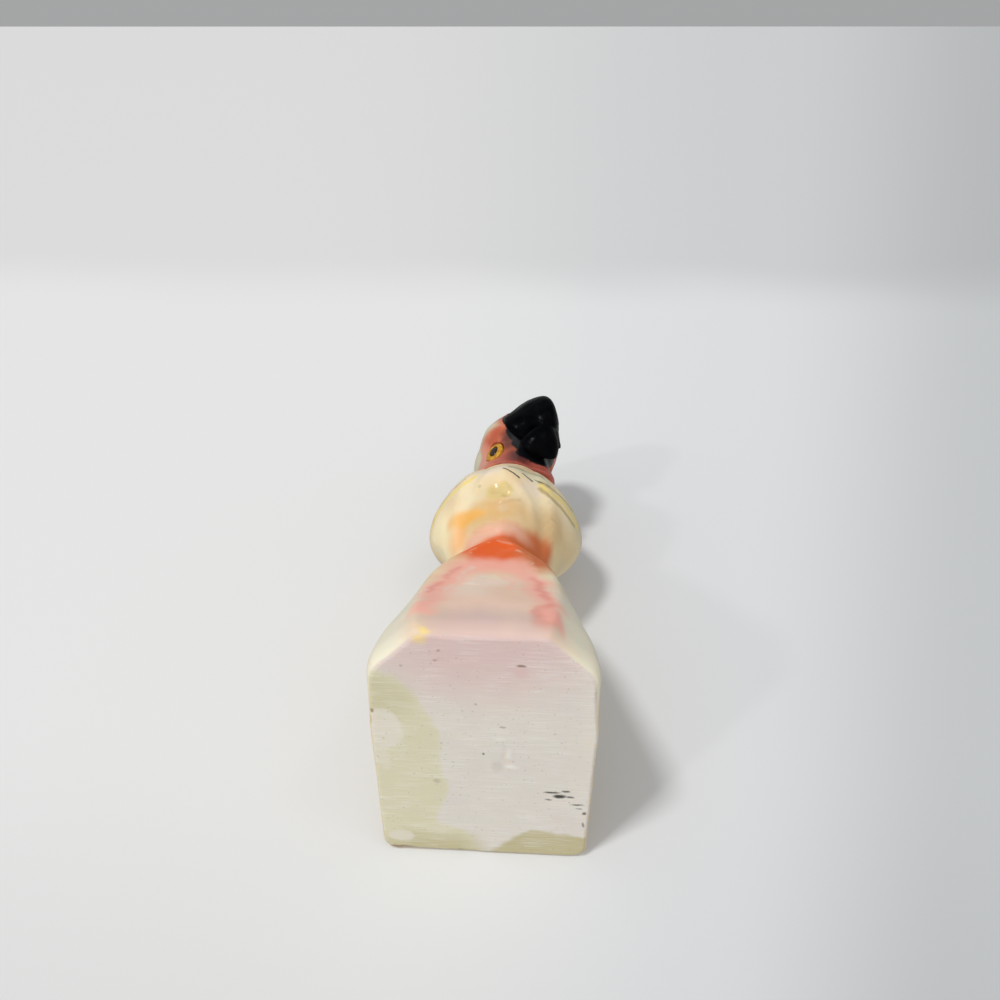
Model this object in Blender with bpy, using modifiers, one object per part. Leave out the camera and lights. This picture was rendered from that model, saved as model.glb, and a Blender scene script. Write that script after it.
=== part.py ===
"""Onyx parrot figurine: a carved parrot standing on a tapered, faceted onyx pedestal.

The bird looks along -Y and turns its head to its own left. +Z is up, and the origin is the middle of
the sawn face that the pedestal stands on. Sizes are in metres.

Three stones are cemented together over hidden steel dowels: the pedestal, the bird's body with its
wings and tail, and the head. The black beak has a round tenon in the head, and each eye is a yellow
ring round a black pupil, set in a shallow socket.
"""

import math

import bmesh
import bpy
from mathutils import Matrix, Vector

# Every seat keeps this gap to what it rests on
SEAT_GAP = 0.0003

# Pedestal, from the sawn base to the waist, which stands out by a margin round the bird's foot
PEDESTAL_HEIGHT = 0.062
BASE_WIDTH = 0.0490
BASE_BACK_WIDTH = 0.0466
BASE_DEPTH = 0.064
BASE_FRONT_FACE = 0.0275
BASE_CORNER_CUT = 0.0105
WAIST_SIDE_MARGIN = 0.0026
WAIST_FRONT_MARGIN = 0.0022
WAIST_BACK_MARGIN = 0.0020
CREASE_RADIUS = 0.0025
SIDE_EDGE_RADIUS = 0.007
BACK_EDGE_RADIUS = 0.0028
PEDESTAL_RIM_ROUND = 0.0006

# Height as a share of the pedestal's, how far it has drawn in to the waist, then the front face's
# width and the corner cut's depth as shares of those at the base
PEDESTAL_SECTIONS = [
    (0.00, 0.00, 1.00, 1.00),
    (0.07, 0.03, 1.02, 0.96),
    (0.19, 0.15, 1.08, 0.81),
    (0.32, 0.34, 1.12, 0.69),
    (0.48, 0.56, 1.12, 0.60),
    (0.65, 0.74, 1.04, 0.60),
    (0.77, 0.85, 0.86, 0.72),
    (0.87, 0.93, 0.58, 0.90),
    (0.94, 0.97, 0.34, 1.07),
    (1.00, 1.00, 0.11, 1.22),
]

# Cement beds under the bird and under the head
CEMENT_THICKNESS = 0.0006
WAIST_CEMENT_SPREAD = 0.0008
NECK_CEMENT_SPREAD = 0.0002

# Steel dowels, half their length in each stone
DOWEL_DIAMETER = 0.005
DOWEL_LENGTH = 0.028
DOWEL_END_BEVEL = 0.0005

# Bird's body, from its foot on the pedestal to the neck. Its wings end just inside the base's sides,
# as where both are cut from one width of stone
BODY_HEIGHT = 0.0545
WING_INSET = 0.0005
BODY_FRONT = 0.0244
BODY_BACK = 0.0185
BODY_AXIS_BACK = 0.0035
WING_RELIEF = 0.0017
BODY_WIDTH = BASE_WIDTH - 2 * (WING_INSET + WING_RELIEF)
WING_FRONT_AT_BREAST = math.radians(14)
WING_FRONT_AT_FLANK = math.radians(62)
WING_EDGE_SPAN = math.radians(13)
BACK_GROOVE_DEPTH = 0.0012
BACK_GROOVE_SPAN = math.radians(16)

# Height as a share of the body's, then its half width, front and back reach as shares of the
# largest, how far back it is widest, and how full the front and back are: 2 is an oval, and less
# is more pointed
BODY_SECTIONS = [
    (0.00, 0.553, 0.690, 0.865, 0.000, 1.60, 2.20),
    (0.05, 0.535, 0.676, 0.860, -0.027, 1.60, 2.10),
    (0.12, 0.557, 0.700, 0.870, -0.080, 1.60, 2.00),
    (0.21, 0.620, 0.783, 0.890, -0.135, 1.60, 1.80),
    (0.32, 0.745, 0.893, 0.920, -0.160, 1.58, 1.55),
    (0.43, 0.885, 0.971, 0.960, -0.080, 1.56, 1.60),
    (0.54, 0.982, 1.000, 1.000, 0.080, 1.58, 1.90),
    (0.64, 1.000, 0.918, 1.000, 0.160, 1.62, 2.10),
    (0.75, 0.915, 0.787, 0.945, 0.135, 1.68, 2.20),
    (0.86, 0.785, 0.664, 0.855, 0.080, 1.80, 2.20),
    (0.95, 0.665, 0.574, 0.784, 0.030, 1.95, 2.10),
    (1.00, 0.615, 0.545, 0.757, 0.000, 2.00, 2.00),
]

# Tail: it runs down from the back and tapers against the pedestal
TAIL_RISE = 0.0288
TAIL_DROP = 0.028
TAIL_TOP_WIDTH = 0.025
TAIL_TIP_WIDTH = 0.012
TAIL_TIP_THICKNESS = 0.0024
TAIL_ROOT_THICKNESS = 0.0032
TAIL_TOP_SUNK = 0.0042
TAIL_INNER_SUNK = 0.0100
TAIL_LEDGE = 0.0002

# Head, turned on the neck
HEAD_TURN = math.radians(26)
HEAD_HEIGHT = 0.0365
HEAD_WIDTH = 0.0264
HEAD_FRONT = 0.0236
HEAD_BACK = 0.0140
HEAD_FULLNESS = 2.4
CHEEK_AT = 0.0195
THROAT_DRAW = 0.0013
CROWN_FLAT = 0.00015

# Beak: an upper bill that hooks down over the lower one
BEAK_ROOT_AT = 0.0165
BEAK_PIVOT_HEIGHT = 0.0117
BEAK_ROOT_REACH = 0.0236
BEAK_TIP_REACH = 0.0092
BEAK_ROOT_HALF_HEIGHT = 0.0126
BEAK_TIP_HALF_HEIGHT = 0.0012
BEAK_ROOT_WIDTH = 0.0206
BEAK_TIP_WIDTH = 0.0056
BEAK_SWEEP = math.radians(98)
BEAK_RIDGE = 0.40
BEAK_ROLL = math.radians(12)
LOWER_BILL_LENGTH = 0.0088
LOWER_BILL_ROOT_WIDTH = 0.0140
LOWER_BILL_FRONT_WIDTH = 0.0060
LOWER_BILL_TOP = 0.0135
LOWER_BILL_BOTTOM = 0.0028
LOWER_BILL_RISE = 0.0058
CHIN_HEIGHT = 0.0016
BEAK_TENON_DIAMETER = 0.006
BEAK_TENON_LENGTH = 0.0035

# Eyes
EYE_ANGLE = math.radians(50)
EYE_AT = 0.0086
EYE_RING_WIDTH = 0.0070
EYE_RING_HEIGHT = 0.0084
PUPIL_WIDTH = 0.0030
PUPIL_HEIGHT = 0.0046
EYE_SOCKET_DEPTH = 0.0016
EYE_STAND = 0.0003
PUPIL_STAND = 0.0005
EYE_DOME = 0.0005

# Points round a section
BODY_POINTS = 72
HEAD_POINTS = 44
BILL_POINTS = 28
FILLET_STEPS = 5


def ease(share):
    """0 to 1 with a level start and finish."""
    share = min(max(share, 0.0), 1.0)
    return share * share * (3 - 2 * share)


def between(low, high, share):
    return low + (high - low) * share


def through(rows, at):
    """The values at one place on smooth curves through a table, whose first column is the place."""
    at = min(max(at, rows[0][0]), rows[-1][0])
    i = max(k for k in range(len(rows) - 1) if rows[k][0] <= at)
    low, high = rows[i], rows[i + 1]
    before, after = rows[max(i - 1, 0)], rows[min(i + 2, len(rows) - 1)]
    span = high[0] - low[0]
    t = (at - low[0]) / span
    values = []
    for a, b, c, d in zip(before[1:], low[1:], high[1:], after[1:]):
        leave = (c - a) / (high[0] - before[0]) * span
        arrive = (d - b) / (after[0] - low[0]) * span
        values.append(between(b, c, ease(t)) + leave * t * (1 - t) ** 2 - arrive * t * t * (1 - t))
    return values


def clear_scene():
    for obj in list(bpy.data.objects):
        bpy.data.objects.remove(obj)


def new_collection(name):
    made = bpy.data.collections.new(name)
    bpy.context.scene.collection.children.link(made)
    return made


def new_material(name, colour, roughness, metallic=0.0):
    made = bpy.data.materials.new(name)
    made.use_nodes = True
    shader = made.node_tree.nodes["Principled BSDF"]
    shader.inputs["Base Color"].default_value = (*colour, 1.0)
    shader.inputs["Roughness"].default_value = roughness
    shader.inputs["Metallic"].default_value = metallic
    return made


clear_scene()
FIGURINE = new_collection("onyx_parrot")
CUTTERS = new_collection("cutters")
ONYX = new_material("cream_onyx", (0.78, 0.60, 0.42), 0.25)
RED_ONYX = new_material("red_head", (0.46, 0.13, 0.08), 0.30)
BLACK = new_material("black_beak", (0.006, 0.006, 0.008), 0.15)
YELLOW = new_material("yellow_eye", (0.60, 0.30, 0.05), 0.30)
CEMENT = new_material("cement", (0.75, 0.55, 0.45), 0.45)
STEEL = new_material("steel", (0.55, 0.56, 0.58), 0.35, 1.0)


def smooth_faces(mesh):
    mesh.shade_smooth()
    mesh.set_sharp_from_angle(angle=math.radians(38))


def add_object(name, mesh, material, collection=FIGURINE, parent=None):
    obj = bpy.data.objects.new(name, mesh)
    mesh.materials.append(material)
    collection.objects.link(obj)
    obj.parent = parent
    return obj


def loft(name, rings):
    """A closed mesh through rings of equal count, with flat ends."""
    mesh = bpy.data.meshes.new(name)
    bm = bmesh.new()
    rows = [[bm.verts.new(point) for point in ring] for ring in rings]
    for low, high in zip(rows, rows[1:]):
        for i, corner in enumerate(low):
            after = (i + 1) % len(low)
            bm.faces.new((corner, low[after], high[after], high[i]))
    bm.faces.new(list(reversed(rows[0])))
    bm.faces.new(rows[-1])
    bmesh.ops.recalc_face_normals(bm, faces=bm.faces)
    bm.to_mesh(mesh)
    bm.free()
    smooth_faces(mesh)
    return mesh


def move_to(obj, collection):
    for owner in list(obj.users_collection):
        owner.objects.unlink(obj)
    collection.objects.link(obj)


def add_cylinder(name, radius, length, middle, material, collection, parent=None):
    bpy.ops.mesh.primitive_cylinder_add(vertices=32, radius=radius, depth=length, location=middle)
    obj = bpy.context.object
    obj.name = name
    obj.parent = parent
    obj.data.materials.append(material)
    smooth_faces(obj.data)
    move_to(obj, collection)
    return obj


def combine(obj, other, operation):
    """Adds a Boolean of the other object, which is kept as a hidden helper."""
    other.hide_render = True
    other.display_type = "WIRE"
    step = obj.modifiers.new(other.name, "BOOLEAN")
    step.operation = operation
    step.object = other
    step.solver = "EXACT"


def filleted(corners, radii):
    """Points round a polygon with each corner turned by an arc, no larger than its sides allow."""
    points = []
    count = len(corners)
    for i, corner in enumerate(corners):
        before = corners[i - 1] - corner
        after = corners[(i + 1) % count] - corner
        half = before.angle(after) / 2
        reach = min(radii[i] / math.tan(half), 0.45 * before.length, 0.45 * after.length)
        radius = reach * math.tan(half)
        middle = corner + (before.normalized() + after.normalized()).normalized() * (radius / math.sin(half))
        start = corner + before.normalized() * reach - middle
        turn = math.pi - 2 * half
        for step in range(FILLET_STEPS + 1):
            points.append(middle + Matrix.Rotation(turn * step / FILLET_STEPS, 2) @ start)
    return points


FOOT_WIDTH, FOOT_FRONT, FOOT_BACK = BODY_SECTIONS[0][1:4]
WAIST_WIDTH = FOOT_WIDTH * BODY_WIDTH + 2 * WAIST_SIDE_MARGIN
WAIST_FRONT = BODY_AXIS_BACK - FOOT_FRONT * BODY_FRONT - WAIST_FRONT_MARGIN
WAIST_BACK = BODY_AXIS_BACK + FOOT_BACK * BODY_BACK + WAIST_BACK_MARGIN


def pedestal_back(z):
    drawn, _, _ = through(PEDESTAL_SECTIONS, z / PEDESTAL_HEIGHT)
    return between(BASE_DEPTH / 2, WAIST_BACK, drawn)


def pedestal_section(z, inset=0.0):
    """The six-sided outline at one height: front face, cut corners, sides and back."""
    drawn, face, cut = through(PEDESTAL_SECTIONS, z / PEDESTAL_HEIGHT)
    half = between(BASE_WIDTH, WAIST_WIDTH, drawn) / 2 - inset
    half_back = between(BASE_BACK_WIDTH, WAIST_WIDTH, drawn) / 2 - inset
    flat = face * BASE_FRONT_FACE / 2 - inset / 2
    back = pedestal_back(z)
    front = between(-BASE_DEPTH / 2, WAIST_FRONT, drawn)
    side = front + cut * BASE_CORNER_CUT
    corners = [
        Vector((flat, front + inset)),
        Vector((half, side + inset / 2)),
        Vector((half_back, back - inset)),
        Vector((-half_back, back - inset)),
        Vector((-half, side + inset / 2)),
        Vector((-flat, front + inset)),
    ]
    radii = [
        CREASE_RADIUS,
        SIDE_EDGE_RADIUS,
        BACK_EDGE_RADIUS,
        BACK_EDGE_RADIUS,
        SIDE_EDGE_RADIUS,
        CREASE_RADIUS,
    ]
    return [Vector((x, y, z)) for x, y in filleted(corners, radii)]


def make_pedestal():
    levels = 24
    low = PEDESTAL_RIM_ROUND
    high = PEDESTAL_HEIGHT - PEDESTAL_RIM_ROUND
    rings = [pedestal_section(0.0, PEDESTAL_RIM_ROUND)]
    rings += [pedestal_section(between(low, high, i / levels)) for i in range(levels + 1)]
    rings.append(pedestal_section(PEDESTAL_HEIGHT, PEDESTAL_RIM_ROUND))
    return add_object("pedestal", loft("pedestal", rings), ONYX)


def oval_reach(angle, half_width, front, back, front_power, back_power):
    """Distance from the axis to an oval's edge. Angle 0 is the front, and a higher power is squarer."""
    along = math.cos(angle)
    deep, power = (front, front_power) if along > 0 else (back, back_power)
    across = abs(math.sin(angle)) / half_width
    return (across**power + (abs(along) / deep) ** power) ** (-1 / power)


def level_ring(reach, z, y_middle, points):
    """A level ring whose reach from its middle is a function of the angle from the front."""
    made = []
    for i in range(points):
        angle = 2 * math.pi * i / points
        r = reach(angle)
        made.append(Vector((r * math.sin(angle), y_middle - r * math.cos(angle), z)))
    return made


BIRD_BOTTOM = PEDESTAL_HEIGHT + CEMENT_THICKNESS + 2 * SEAT_GAP
BIRD_TOP = BIRD_BOTTOM + BODY_HEIGHT


def wing_relief(angle, share):
    """How far the folded wings stand proud of the body, and the groove between them down the back."""
    turned = abs((angle + math.pi) % (2 * math.pi) - math.pi)
    front = between(WING_FRONT_AT_FLANK, WING_FRONT_AT_BREAST, ease((share - 0.08) / 0.55))
    edge = ease((turned - front) / WING_EDGE_SPAN)
    fade = ease((share - 0.10) / 0.16) * ease((1 - share) / 0.32)
    groove = ease((share - 0.36) / 0.18) * (1 - ease((math.pi - turned) / BACK_GROOVE_SPAN))
    return (WING_RELIEF * edge - BACK_GROOVE_DEPTH * groove) * fade


def body_ring(share):
    width, front, back, widest, front_fullness, back_fullness = through(BODY_SECTIONS, share)
    half_width = width * BODY_WIDTH / 2
    shift = widest * BODY_BACK

    def reach(angle):
        oval = oval_reach(
            angle,
            half_width,
            front * BODY_FRONT + shift,
            back * BODY_BACK - shift,
            front_fullness,
            back_fullness,
        )
        return oval + wing_relief(angle, share)

    return level_ring(reach, BIRD_BOTTOM + share * BODY_HEIGHT, BODY_AXIS_BACK + shift, BODY_POINTS)


def tail_rings():
    """Sections of the tail from its tip up into the back. Under the bird it lies on the pedestal."""
    tip = PEDESTAL_HEIGHT - TAIL_DROP
    ledge = BIRD_BOTTOM + TAIL_LEDGE
    top = BIRD_BOTTOM + TAIL_RISE
    top_at = BODY_AXIS_BACK + BODY_BACK - TAIL_TOP_SUNK
    ledge_at = pedestal_back(PEDESTAL_HEIGHT) + 2 * SEAT_GAP + TAIL_ROOT_THICKNESS
    steps = 8
    levels = []
    for i in range(steps + 1):
        z = between(tip, ledge, i / steps)
        inner = pedestal_back(min(z, PEDESTAL_HEIGHT)) + 2 * SEAT_GAP
        levels.append((z, inner, inner + between(TAIL_TIP_THICKNESS, TAIL_ROOT_THICKNESS, i / steps)))
    for i in range(steps + 1):
        z = between(ledge, top, i / steps)
        levels.append((z, top_at + TAIL_TOP_SUNK - TAIL_INNER_SUNK, between(ledge_at, top_at, i / steps)))
    rings = []
    for z, inner, outer in levels:
        share = (z - tip) / (top - tip)
        half = between(TAIL_TIP_WIDTH, TAIL_TOP_WIDTH, share) / 2 * math.sqrt(min(1.0, 0.4 + 5 * share))
        thick = (outer - inner) / 2

        def reach(angle):
            return oval_reach(angle, half, thick, thick, 4.0, between(3.4, 2.2, share))

        rings.append(level_ring(reach, z, inner + thick, 28))
    return rings


def make_bird():
    levels = 30
    rings = [body_ring(i / levels) for i in range(levels + 1)]
    bird = add_object("bird_body", loft("bird_body", rings), ONYX)
    tail = add_object("tail_blade", loft("tail_blade", tail_rings()), ONYX, CUTTERS)
    combine(bird, tail, "UNION")
    return bird


def make_cement(name, ring, bottom, squeezed_out):
    """A thin bed that is squeezed out a little past the stone that it holds."""
    middle = sum(ring, Vector()) / len(ring)

    def spread(point, out, z):
        away = Vector((point.x - middle.x, point.y - middle.y))
        away *= 1 + out / away.length
        return Vector((middle.x + away.x, middle.y + away.y, z))

    rows = [(0.5, 0.0), (1.0, 0.5), (0.5, 1.0)]
    rings = [
        [spread(point, out * squeezed_out, bottom + up * CEMENT_THICKNESS) for point in ring]
        for out, up in rows
    ]
    return add_object(name, loft(name, rings), CEMENT)


def add_dowel(name, joint_z, stones):
    """A steel pin across one joint, with a drilled hole in each stone and in the cement bed."""
    middle = Vector((0, BODY_AXIS_BACK, joint_z))
    pin = add_cylinder(name, DOWEL_DIAMETER / 2, DOWEL_LENGTH, middle, STEEL, FIGURINE)
    bevel = pin.modifiers.new("ends", "BEVEL")
    bevel.width = DOWEL_END_BEVEL
    bevel.segments = 1
    bevel.limit_method = "ANGLE"
    radius = DOWEL_DIAMETER / 2 + SEAT_GAP
    hole = add_cylinder(name + "_hole", radius, DOWEL_LENGTH + 2 * SEAT_GAP, middle, STEEL, CUTTERS)
    for stone in stones:
        combine(stone, hole, "DIFFERENCE")


HEAD_BOTTOM = BIRD_TOP + CEMENT_THICKNESS + 2 * SEAT_GAP
NECK_SIZES = [
    size * share
    for size, share in zip((BODY_WIDTH / 2, BODY_FRONT, BODY_BACK), BODY_SECTIONS[-1][1:4])
]


def head_sizes(up):
    """Half width, front reach and back reach of the head at a height above its seat."""
    cheek = (HEAD_WIDTH / 2, HEAD_FRONT, HEAD_BACK)
    if up < CHEEK_AT:
        share = up / CHEEK_AT
        draw = THROAT_DRAW * math.sin(math.pi * share)
        return [between(a, b, ease(share)) - draw for a, b in zip(NECK_SIZES, cheek)]
    rise = (up - CHEEK_AT) / (HEAD_HEIGHT - CHEEK_AT)
    dome = math.sqrt(max(0.0, 1 - rise**3.0))
    return [size * dome for size in cheek]


def head_point(angle, up):
    half_width, front, back = head_sizes(up)
    fullness = between(2.0, HEAD_FULLNESS, ease(up / CHEEK_AT))
    r = oval_reach(angle, half_width, front, back, fullness, 2.1)
    return Vector((r * math.sin(angle), -r * math.cos(angle), up))


def head_normal(angle, up):
    step = 0.0005
    turned = head_point(angle + 0.02, up) - head_point(angle - 0.02, up)
    raised = head_point(angle, up + step) - head_point(angle, up - step)
    return turned.cross(raised).normalized()


def make_head(parent):
    levels = 24
    rings = []
    for i in range(levels + 1):
        up = (HEAD_HEIGHT - CROWN_FLAT) * math.sin(i / levels * math.pi / 2)
        rings.append([head_point(2 * math.pi * k / HEAD_POINTS, up) for k in range(HEAD_POINTS)])
    return add_object("head", loft("head", rings), RED_ONYX, parent=parent)


def upper_bill_rings():
    """Sections of the upper bill on an arc about the pivot, from inside the head to the tip."""
    rings = []
    levels = 16
    for i in range(-1, levels + 1):
        share = max(i, 0) / levels
        tilt = BEAK_SWEEP * share
        outer = between(BEAK_ROOT_REACH, BEAK_TIP_REACH, share**1.15)
        rounded = math.sqrt(1.04 - share**9)
        half_height = between(BEAK_ROOT_HALF_HEIGHT, BEAK_TIP_HALF_HEIGHT, share**1.1)
        half_width = between(BEAK_ROOT_WIDTH, BEAK_TIP_WIDTH, share**0.85) / 2 * rounded
        away = Vector((0, -math.sin(tilt), math.cos(tilt)))
        middle = Vector((0, -BEAK_ROOT_AT, BEAK_PIVOT_HEIGHT)) + away * (outer - half_height)
        if i < 0:
            middle.y += BEAK_TENON_LENGTH / 2
        ring = []
        for k in range(BILL_POINTS):
            angle = 2 * math.pi * k / BILL_POINTS
            across = Vector((half_width * math.sin(angle) * (1 - BEAK_RIDGE * math.cos(angle)), 0, 0))
            ring.append(middle + across + away * (half_height * rounded * math.cos(angle)))
        rings.append(ring)
    return rings


def lower_bill_rings():
    """Upright sections of the lower bill, a scoop that narrows and rises to a rounded front."""
    rings = []
    for i, share in enumerate([0, 0, 0.15, 0.3, 0.45, 0.6, 0.73, 0.84, 0.92, 0.97, 1.0]):
        rounded = math.sqrt(1.02 - share**5)
        half_width = between(LOWER_BILL_ROOT_WIDTH, LOWER_BILL_FRONT_WIDTH, share**1.5) / 2 * rounded
        low = LOWER_BILL_BOTTOM + LOWER_BILL_RISE * share**1.7
        half_height = (LOWER_BILL_TOP - low) / 2
        y = -BEAK_ROOT_AT - LOWER_BILL_LENGTH * share
        if i == 0:
            y += BEAK_TENON_LENGTH / 2
        ring = []
        for k in range(24):
            angle = 2 * math.pi * k / 24
            across = half_width * math.sin(angle)
            ring.append(Vector((across, y, low + half_height * (1 - rounded * math.cos(angle)))))
        rings.append(ring)
    return rings


def rolled(rings):
    """Turns the bill's sections a little about the tenon, because the bill sits slightly crooked."""
    turn = Matrix.Rotation(-BEAK_ROLL, 3, "Y")
    tenon_axis = Vector((0, 0, CHEEK_AT))
    return [[turn @ (point - tenon_axis) + tenon_axis for point in ring] for ring in rings]


def add_block(name, low, high, parent):
    """A box between two corners, used as a cutter."""
    bpy.ops.mesh.primitive_cube_add(size=1.0)
    block = bpy.context.object
    block.name = name
    move_to(block, CUTTERS)
    block.data.transform(Matrix.Diagonal((*(high - low), 1)))
    block.location = (low + high) / 2
    block.parent = parent
    return block


def make_beak(parent):
    """Both bills in one piece, flat at the root, with a tenon that goes into the head."""
    beak = add_object("beak", loft("beak", rolled(upper_bill_rings())), BLACK, parent=parent)
    lower = add_object("lower_bill", loft("lower_bill", rolled(lower_bill_rings())), BLACK, CUTTERS, parent)
    combine(beak, lower, "UNION")
    wide = Vector((BASE_WIDTH, 0, 0))
    behind = add_block(
        "beak_root_cut",
        Vector((0, -BEAK_ROOT_AT, -HEAD_HEIGHT)) - wide,
        Vector((0, HEAD_BACK, 2 * HEAD_HEIGHT)) + wide,
        parent,
    )
    combine(beak, behind, "DIFFERENCE")
    tenon_middle = (0, -BEAK_ROOT_AT, CHEEK_AT)
    tenon = add_cylinder(
        "beak_tenon", BEAK_TENON_DIAMETER / 2, 2 * BEAK_TENON_LENGTH, tenon_middle, BLACK, CUTTERS, parent
    )
    tenon.rotation_euler.x = math.pi / 2
    combine(beak, tenon, "UNION")
    return beak


def cut_beak_seat(head, parent):
    """A flat on the head's face for the beak's root, and a socket for its tenon."""
    face = -BEAK_ROOT_AT + SEAT_GAP
    block = add_block(
        "beak_seat",
        Vector((-HEAD_WIDTH, face - 2 * HEAD_FRONT, CHIN_HEIGHT)),
        Vector((HEAD_WIDTH, face, 2 * HEAD_HEIGHT)),
        parent,
    )
    combine(head, block, "DIFFERENCE")
    socket = add_cylinder(
        "tenon_socket",
        BEAK_TENON_DIAMETER / 2 + SEAT_GAP,
        2 * (BEAK_TENON_LENGTH + SEAT_GAP),
        (0, -BEAK_ROOT_AT, CHEEK_AT),
        BLACK,
        CUTTERS,
        parent,
    )
    socket.rotation_euler.x = math.pi / 2
    combine(head, socket, "DIFFERENCE")


def eye_plug(name, width, height, low, high, dome, seat, material, collection, parent):
    """An oval plug on the eye's axis, from one depth to another, with a domed face."""
    rows = [(1.0, low), (1.0, high - dome)]
    if dome:
        rows += [(0.82, high - 0.35 * dome), (0.45, high)]
    rings = []
    for share, up in rows:
        ring = []
        for k in range(BILL_POINTS):
            angle = 2 * math.pi * k / BILL_POINTS
            x = share * width / 2 * math.cos(angle)
            y = share * height / 2 * math.sin(angle)
            ring.append(seat @ Vector((x, y, up)))
        rings.append(ring)
    return add_object(name, loft(name, rings), material, collection, parent)


def make_eye(side, sign, head, parent):
    """A yellow ring in a socket on the cheek, with the black pupil inside it."""
    angle = sign * EYE_ANGLE
    turn = head_normal(angle, EYE_AT).to_track_quat("Z", "Y").to_matrix().to_4x4()
    seat = Matrix.Translation(head_point(angle, EYE_AT)) @ turn
    wider = 2 * SEAT_GAP
    deep = -EYE_SOCKET_DEPTH
    ring = eye_plug(
        side + "_eye_ring",
        EYE_RING_WIDTH,
        EYE_RING_HEIGHT,
        deep,
        EYE_STAND,
        EYE_DOME,
        seat,
        YELLOW,
        FIGURINE,
        parent,
    )
    socket = eye_plug(
        side + "_eye_socket",
        EYE_RING_WIDTH + wider,
        EYE_RING_HEIGHT + wider,
        deep - SEAT_GAP,
        EYE_SOCKET_DEPTH,
        0,
        seat,
        YELLOW,
        CUTTERS,
        parent,
    )
    combine(head, socket, "DIFFERENCE")
    eye_plug(
        side + "_pupil",
        PUPIL_WIDTH,
        PUPIL_HEIGHT,
        deep,
        PUPIL_STAND,
        EYE_DOME,
        seat,
        BLACK,
        FIGURINE,
        parent,
    )
    hole = eye_plug(
        side + "_pupil_hole",
        PUPIL_WIDTH + wider,
        PUPIL_HEIGHT + wider,
        2 * deep,
        EYE_SOCKET_DEPTH,
        0,
        seat,
        BLACK,
        CUTTERS,
        parent,
    )
    combine(ring, hole, "DIFFERENCE")


pedestal = make_pedestal()
bird = make_bird()
waist_bed_at = PEDESTAL_HEIGHT + SEAT_GAP
waist_cement = make_cement("waist_cement", body_ring(0.0), waist_bed_at, WAIST_CEMENT_SPREAD)
neck_cement = make_cement("neck_cement", body_ring(1.0), BIRD_TOP + SEAT_GAP, NECK_CEMENT_SPREAD)

head_turn = bpy.data.objects.new("head_turn", None)
head_turn.location = (0, BODY_AXIS_BACK, HEAD_BOTTOM)
head_turn.rotation_euler.z = HEAD_TURN
FIGURINE.objects.link(head_turn)
head = make_head(head_turn)

add_dowel("waist_dowel", (PEDESTAL_HEIGHT + BIRD_BOTTOM) / 2, (pedestal, bird, waist_cement))
add_dowel("neck_dowel", (BIRD_TOP + HEAD_BOTTOM) / 2, (bird, head, neck_cement))
cut_beak_seat(head, head_turn)
make_beak(head_turn)
make_eye("right", -1, head, head_turn)
make_eye("left", 1, head, head_turn)
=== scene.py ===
"""The onyx parrot figurine dressed for its photograph: stone, paint, light and camera.

The bird looks along -Y and stands on the XY plane. In the photograph it lies on its back on a pale sheet
with its sawn base towards the camera, so the sheet here is a plane behind the back.
"""
import math

import bpy
import numpy as np
from mathutils import Matrix, Vector


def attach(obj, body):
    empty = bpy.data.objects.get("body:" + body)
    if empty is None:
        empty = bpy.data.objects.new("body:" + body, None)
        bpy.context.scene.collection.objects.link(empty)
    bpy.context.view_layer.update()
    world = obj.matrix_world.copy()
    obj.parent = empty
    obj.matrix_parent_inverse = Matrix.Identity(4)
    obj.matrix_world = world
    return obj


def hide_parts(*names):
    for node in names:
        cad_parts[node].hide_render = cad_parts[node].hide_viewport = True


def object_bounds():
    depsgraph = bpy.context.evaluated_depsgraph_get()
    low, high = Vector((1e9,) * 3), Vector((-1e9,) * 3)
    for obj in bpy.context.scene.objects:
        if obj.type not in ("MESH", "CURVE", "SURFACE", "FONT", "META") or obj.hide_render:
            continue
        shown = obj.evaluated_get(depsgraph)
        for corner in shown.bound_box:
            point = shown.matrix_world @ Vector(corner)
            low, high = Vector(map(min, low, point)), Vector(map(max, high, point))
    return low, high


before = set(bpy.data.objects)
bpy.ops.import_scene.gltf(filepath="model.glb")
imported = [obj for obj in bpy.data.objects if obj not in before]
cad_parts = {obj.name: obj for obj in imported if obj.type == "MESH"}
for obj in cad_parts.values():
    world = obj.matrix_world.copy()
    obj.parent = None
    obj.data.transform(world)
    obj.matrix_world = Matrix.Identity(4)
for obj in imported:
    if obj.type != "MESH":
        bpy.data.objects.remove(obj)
cad_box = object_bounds()

MM = 0.001

# Points of a mesh that lie nearer than this are merged
WELD = 0.01 * MM

# After the wear, points lower than this belong to the sawn face
SAWN_FACE_WITHIN = 0.15 * MM

# A ridge or groove starts with this share of its height, and has all of it a sixth of its path further on
RIDGE_START = 0.15
RIDGE_RISE = 6

# Waves by which the borders of stains stray: radians for each millimetre, and the phase
STRAY_WAVES = ((0.45, 0.3), (0.85, 2.1), (1.6, 4.0))

# Places of a Mix node's sockets: the share, and then the two colours or the two plain values
MIX_SHARE = 0
MIX_COLOURS = (6, 7)
MIX_VALUES = (2, 3)
MIX_RESULT = 2

# The camera stands under the base, looking up the breast, and is measured from the base's back edge
LENS_MM = 30.6
SENSOR_MM = 36.0
CAMERA_PITCH = math.radians(29)
CAMERA_YAW = math.radians(3.2)
CAMERA_HEIGHT = 166.3 * MM
CAMERA_BACK_OFF = 132 * MM
CAMERA_BESIDE = 3.6 * MM
BASE_BACK_EDGE = 32 * MM

# The head stands on the neck's axis and is turned to the bird's left
NECK_AXIS = Vector((0, 3.5, 118.9)) * MM
HEAD_TURN = math.radians(26)
FACE_WAY = Vector((math.sin(HEAD_TURN), -math.cos(HEAD_TURN), 0))


def only(piece):
    """Selects one piece and nothing else."""
    bpy.ops.object.select_all(action="DESELECT")
    piece.select_set(True)
    bpy.context.view_layer.objects.active = piece


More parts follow.
